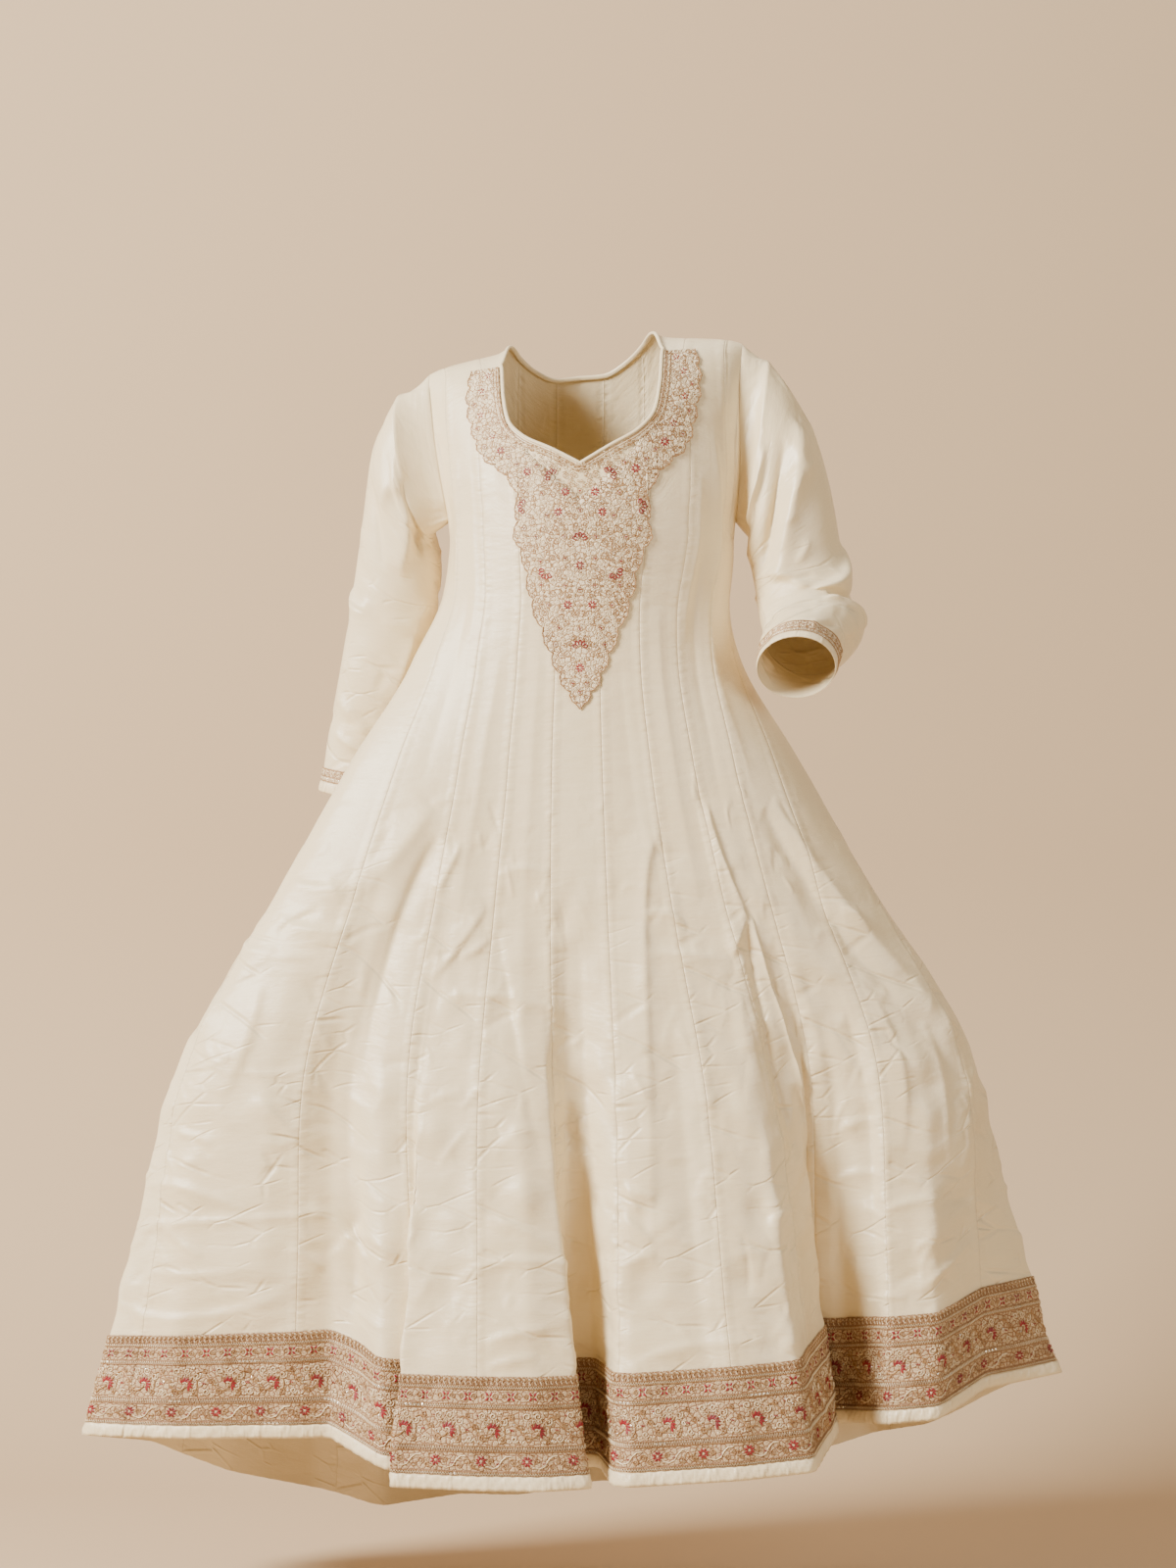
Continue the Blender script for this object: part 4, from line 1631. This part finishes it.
def sewCuff(label, bands):
    band, raised, out, girth, deep = bands["band"]
    lengths = np.linalg.norm(raised - np.roll(raised, -1, axis=1), axis=-1).mean(0)
    if label == "left":
        raised, out, lengths = raised[:, ::-1], out[:, ::-1], np.roll(lengths[::-1], -1)
    surface, length = gridSurface(raised, out, lengths, deep, 0.0001)
    work = Stitching(surface)
    units = int(round(length / 0.0085))
    size = length / units
    for k in range(units):
        u = k * size
        for w in (deep * 0.06, deep * 0.56, deep * 0.92):
            work.thread("gold", [(u + size * part, w) for part in (0, 0.25, 0.5, 0.75, 1)], 0.0011, 0.0007)
        work.thread("pale", zigzag(u, u + size, deep * 0.74, deep * 0.22, 0.0028), 0.0009)
        flower = (u + size / 2, deep * 0.31)
        work.thread("gold", curl((flower[0] - size * 0.22, flower[1]), deep * 0.19, 1.0, 1, 1.2, 12), 0.0010)
        work.thread("pale", circle((flower[0] + size * 0.22, flower[1]), deep * 0.15, 8), 0.0009)
        if k % 3 == 1:
            trefoil(work, (flower[0] + size * 0.22, flower[1] + 0.0006), 0.0010, -1.57)
        work.petal("sequins", (u + size * 0.5, deep * 0.74), 0.0022, 0.0022, 0.0, 0.0007)
    made = work.pieces(f"cuff_{label}", threads)


print("cuff embroidery")
sewCuff("left", leftBands)
sewCuff("right", rightBands)


# Floor, light and camera.
def makeStage():
    stage = {
        "floorZ": -1.458,
        "frontY": -6.0,
        "middleY": -2.0,
        "backY": 1.6,
        "bend": 0.9,
        "width": 9.0,
        "height": 4.5,
    }
    turn = np.linspace(0, math.pi / 2, 13)
    curve = stage["backY"] - stage["bend"] + stage["bend"] * np.sin(turn)
    depth = np.concatenate(([stage["frontY"], stage["middleY"]], curve, [stage["backY"]]))
    rise = np.concatenate(([0.0, 0.0], stage["bend"] * (1 - np.cos(turn)), [stage["height"]]))
    sides = (-stage["width"], stage["width"])
    points = [(x, y, stage["floorZ"] + z) for y, z in zip(depth, rise) for x in sides]
    faces = [(2 * k, 2 * k + 1, 2 * k + 3, 2 * k + 2) for k in range(len(depth) - 1)]
    mesh = bpy.data.meshes.new("floor")
    mesh.from_pydata(points, [], faces)
    mesh.shade_smooth()
    floor = Look("pale floor", Roughness=0.9, Specular_IOR_Level=0.1)
    place = floor.add("ShaderNodeTexCoord", out=3)
    grain = floor.noise(place, 1.2, 3.0)
    floor.feed(Base_Color=floor.blend(grain, (0.55, 0.405, 0.255), (0.58, 0.43, 0.275)))
    # from behind, the wall lets the gown be seen
    behind = floor.add("ShaderNodeNewGeometry", out=6)
    clear = floor.add("ShaderNodeBsdfTransparent")
    output = floor.tree.nodes["Material Output"]
    solid = Value(floor, floor.shader.outputs[0])
    both = floor.add("ShaderNodeMixShader", {}, {0: behind, 1: solid, 2: clear})
    floor.tree.links.new(both.socket, output.inputs["Surface"])
    mesh.materials.append(floor.material)
    ground = bpy.data.objects.new("floor", mesh)
    bpy.context.scene.collection.objects.link(ground)


def addLight(name, place, target, size, power, colour):
    data = bpy.data.lights.new(name, "AREA")
    data.shape = "RECTANGLE"
    data.size, data.size_y = size
    data.energy = power
    data.color = colour
    light = bpy.data.objects.new(name, data)
    bpy.context.scene.collection.objects.link(light)
    light.location = place
    direction = np.array(target) - np.array(place)
    flat = math.hypot(direction[0], direction[1])
    light.rotation_euler = (math.atan2(flat, -direction[2]), 0.0, math.atan2(-direction[0], direction[1]))


def makeLights():
    addLight("key", (-3.3, -2.4, 1.6), (0, 0, -0.75), (1.3, 1.5), 610, (1.0, 0.98, 0.94))
    addLight("fill", (3.1, -2.5, 0.3), (0, 0, -0.7), (1.4, 2.0), 72, (1.0, 0.95, 0.86))
    addLight("top", (0.4, 0.2, 2.6), (0, 0, -0.6), (2.0, 1.4), 30, (1.0, 0.97, 0.92))
    world = bpy.data.worlds.new("studio")
    bpy.context.scene.world = world
    world.use_nodes = True
    lit = world.node_tree.nodes["Background"]
    lit.inputs[0].default_value = (1.0, 0.62, 0.32, 1.0)
    lit.inputs[1].default_value = 0.12
    seen = world.node_tree.nodes.new("ShaderNodeBackground")
    seen.inputs[0].default_value = (0.66, 0.52, 0.37, 1.0)
    rays = world.node_tree.nodes.new("ShaderNodeLightPath")
    either = world.node_tree.nodes.new("ShaderNodeMixShader")
    links = world.node_tree.links
    links.new(rays.outputs["Is Camera Ray"], either.inputs[0])
    links.new(lit.outputs[0], either.inputs[1])
    links.new(seen.outputs[0], either.inputs[2])
    links.new(either.outputs[0], world.node_tree.nodes["World Output"].inputs["Surface"])


def makeCamera():
    # focal and horizon are shares of the frame's height
    view = {"distance": 3.8, "aside": 0.0092, "height": -0.65, "focal": 2.05625, "horizon": 0.080625}
    data = bpy.data.cameras.new("camera")
    data.sensor_width = 36.0
    data.lens = view["focal"] * data.sensor_width
    data.shift_y = view["horizon"]
    camera = bpy.data.objects.new("camera", data)
    bpy.context.scene.collection.objects.link(camera)
    camera.location = (view["aside"], -view["distance"], view["height"])
    camera.rotation_euler = (math.pi / 2, 0.0, 0.0)
    bpy.context.scene.camera = camera


print("stage")
makeStage()
makeLights()
makeCamera()
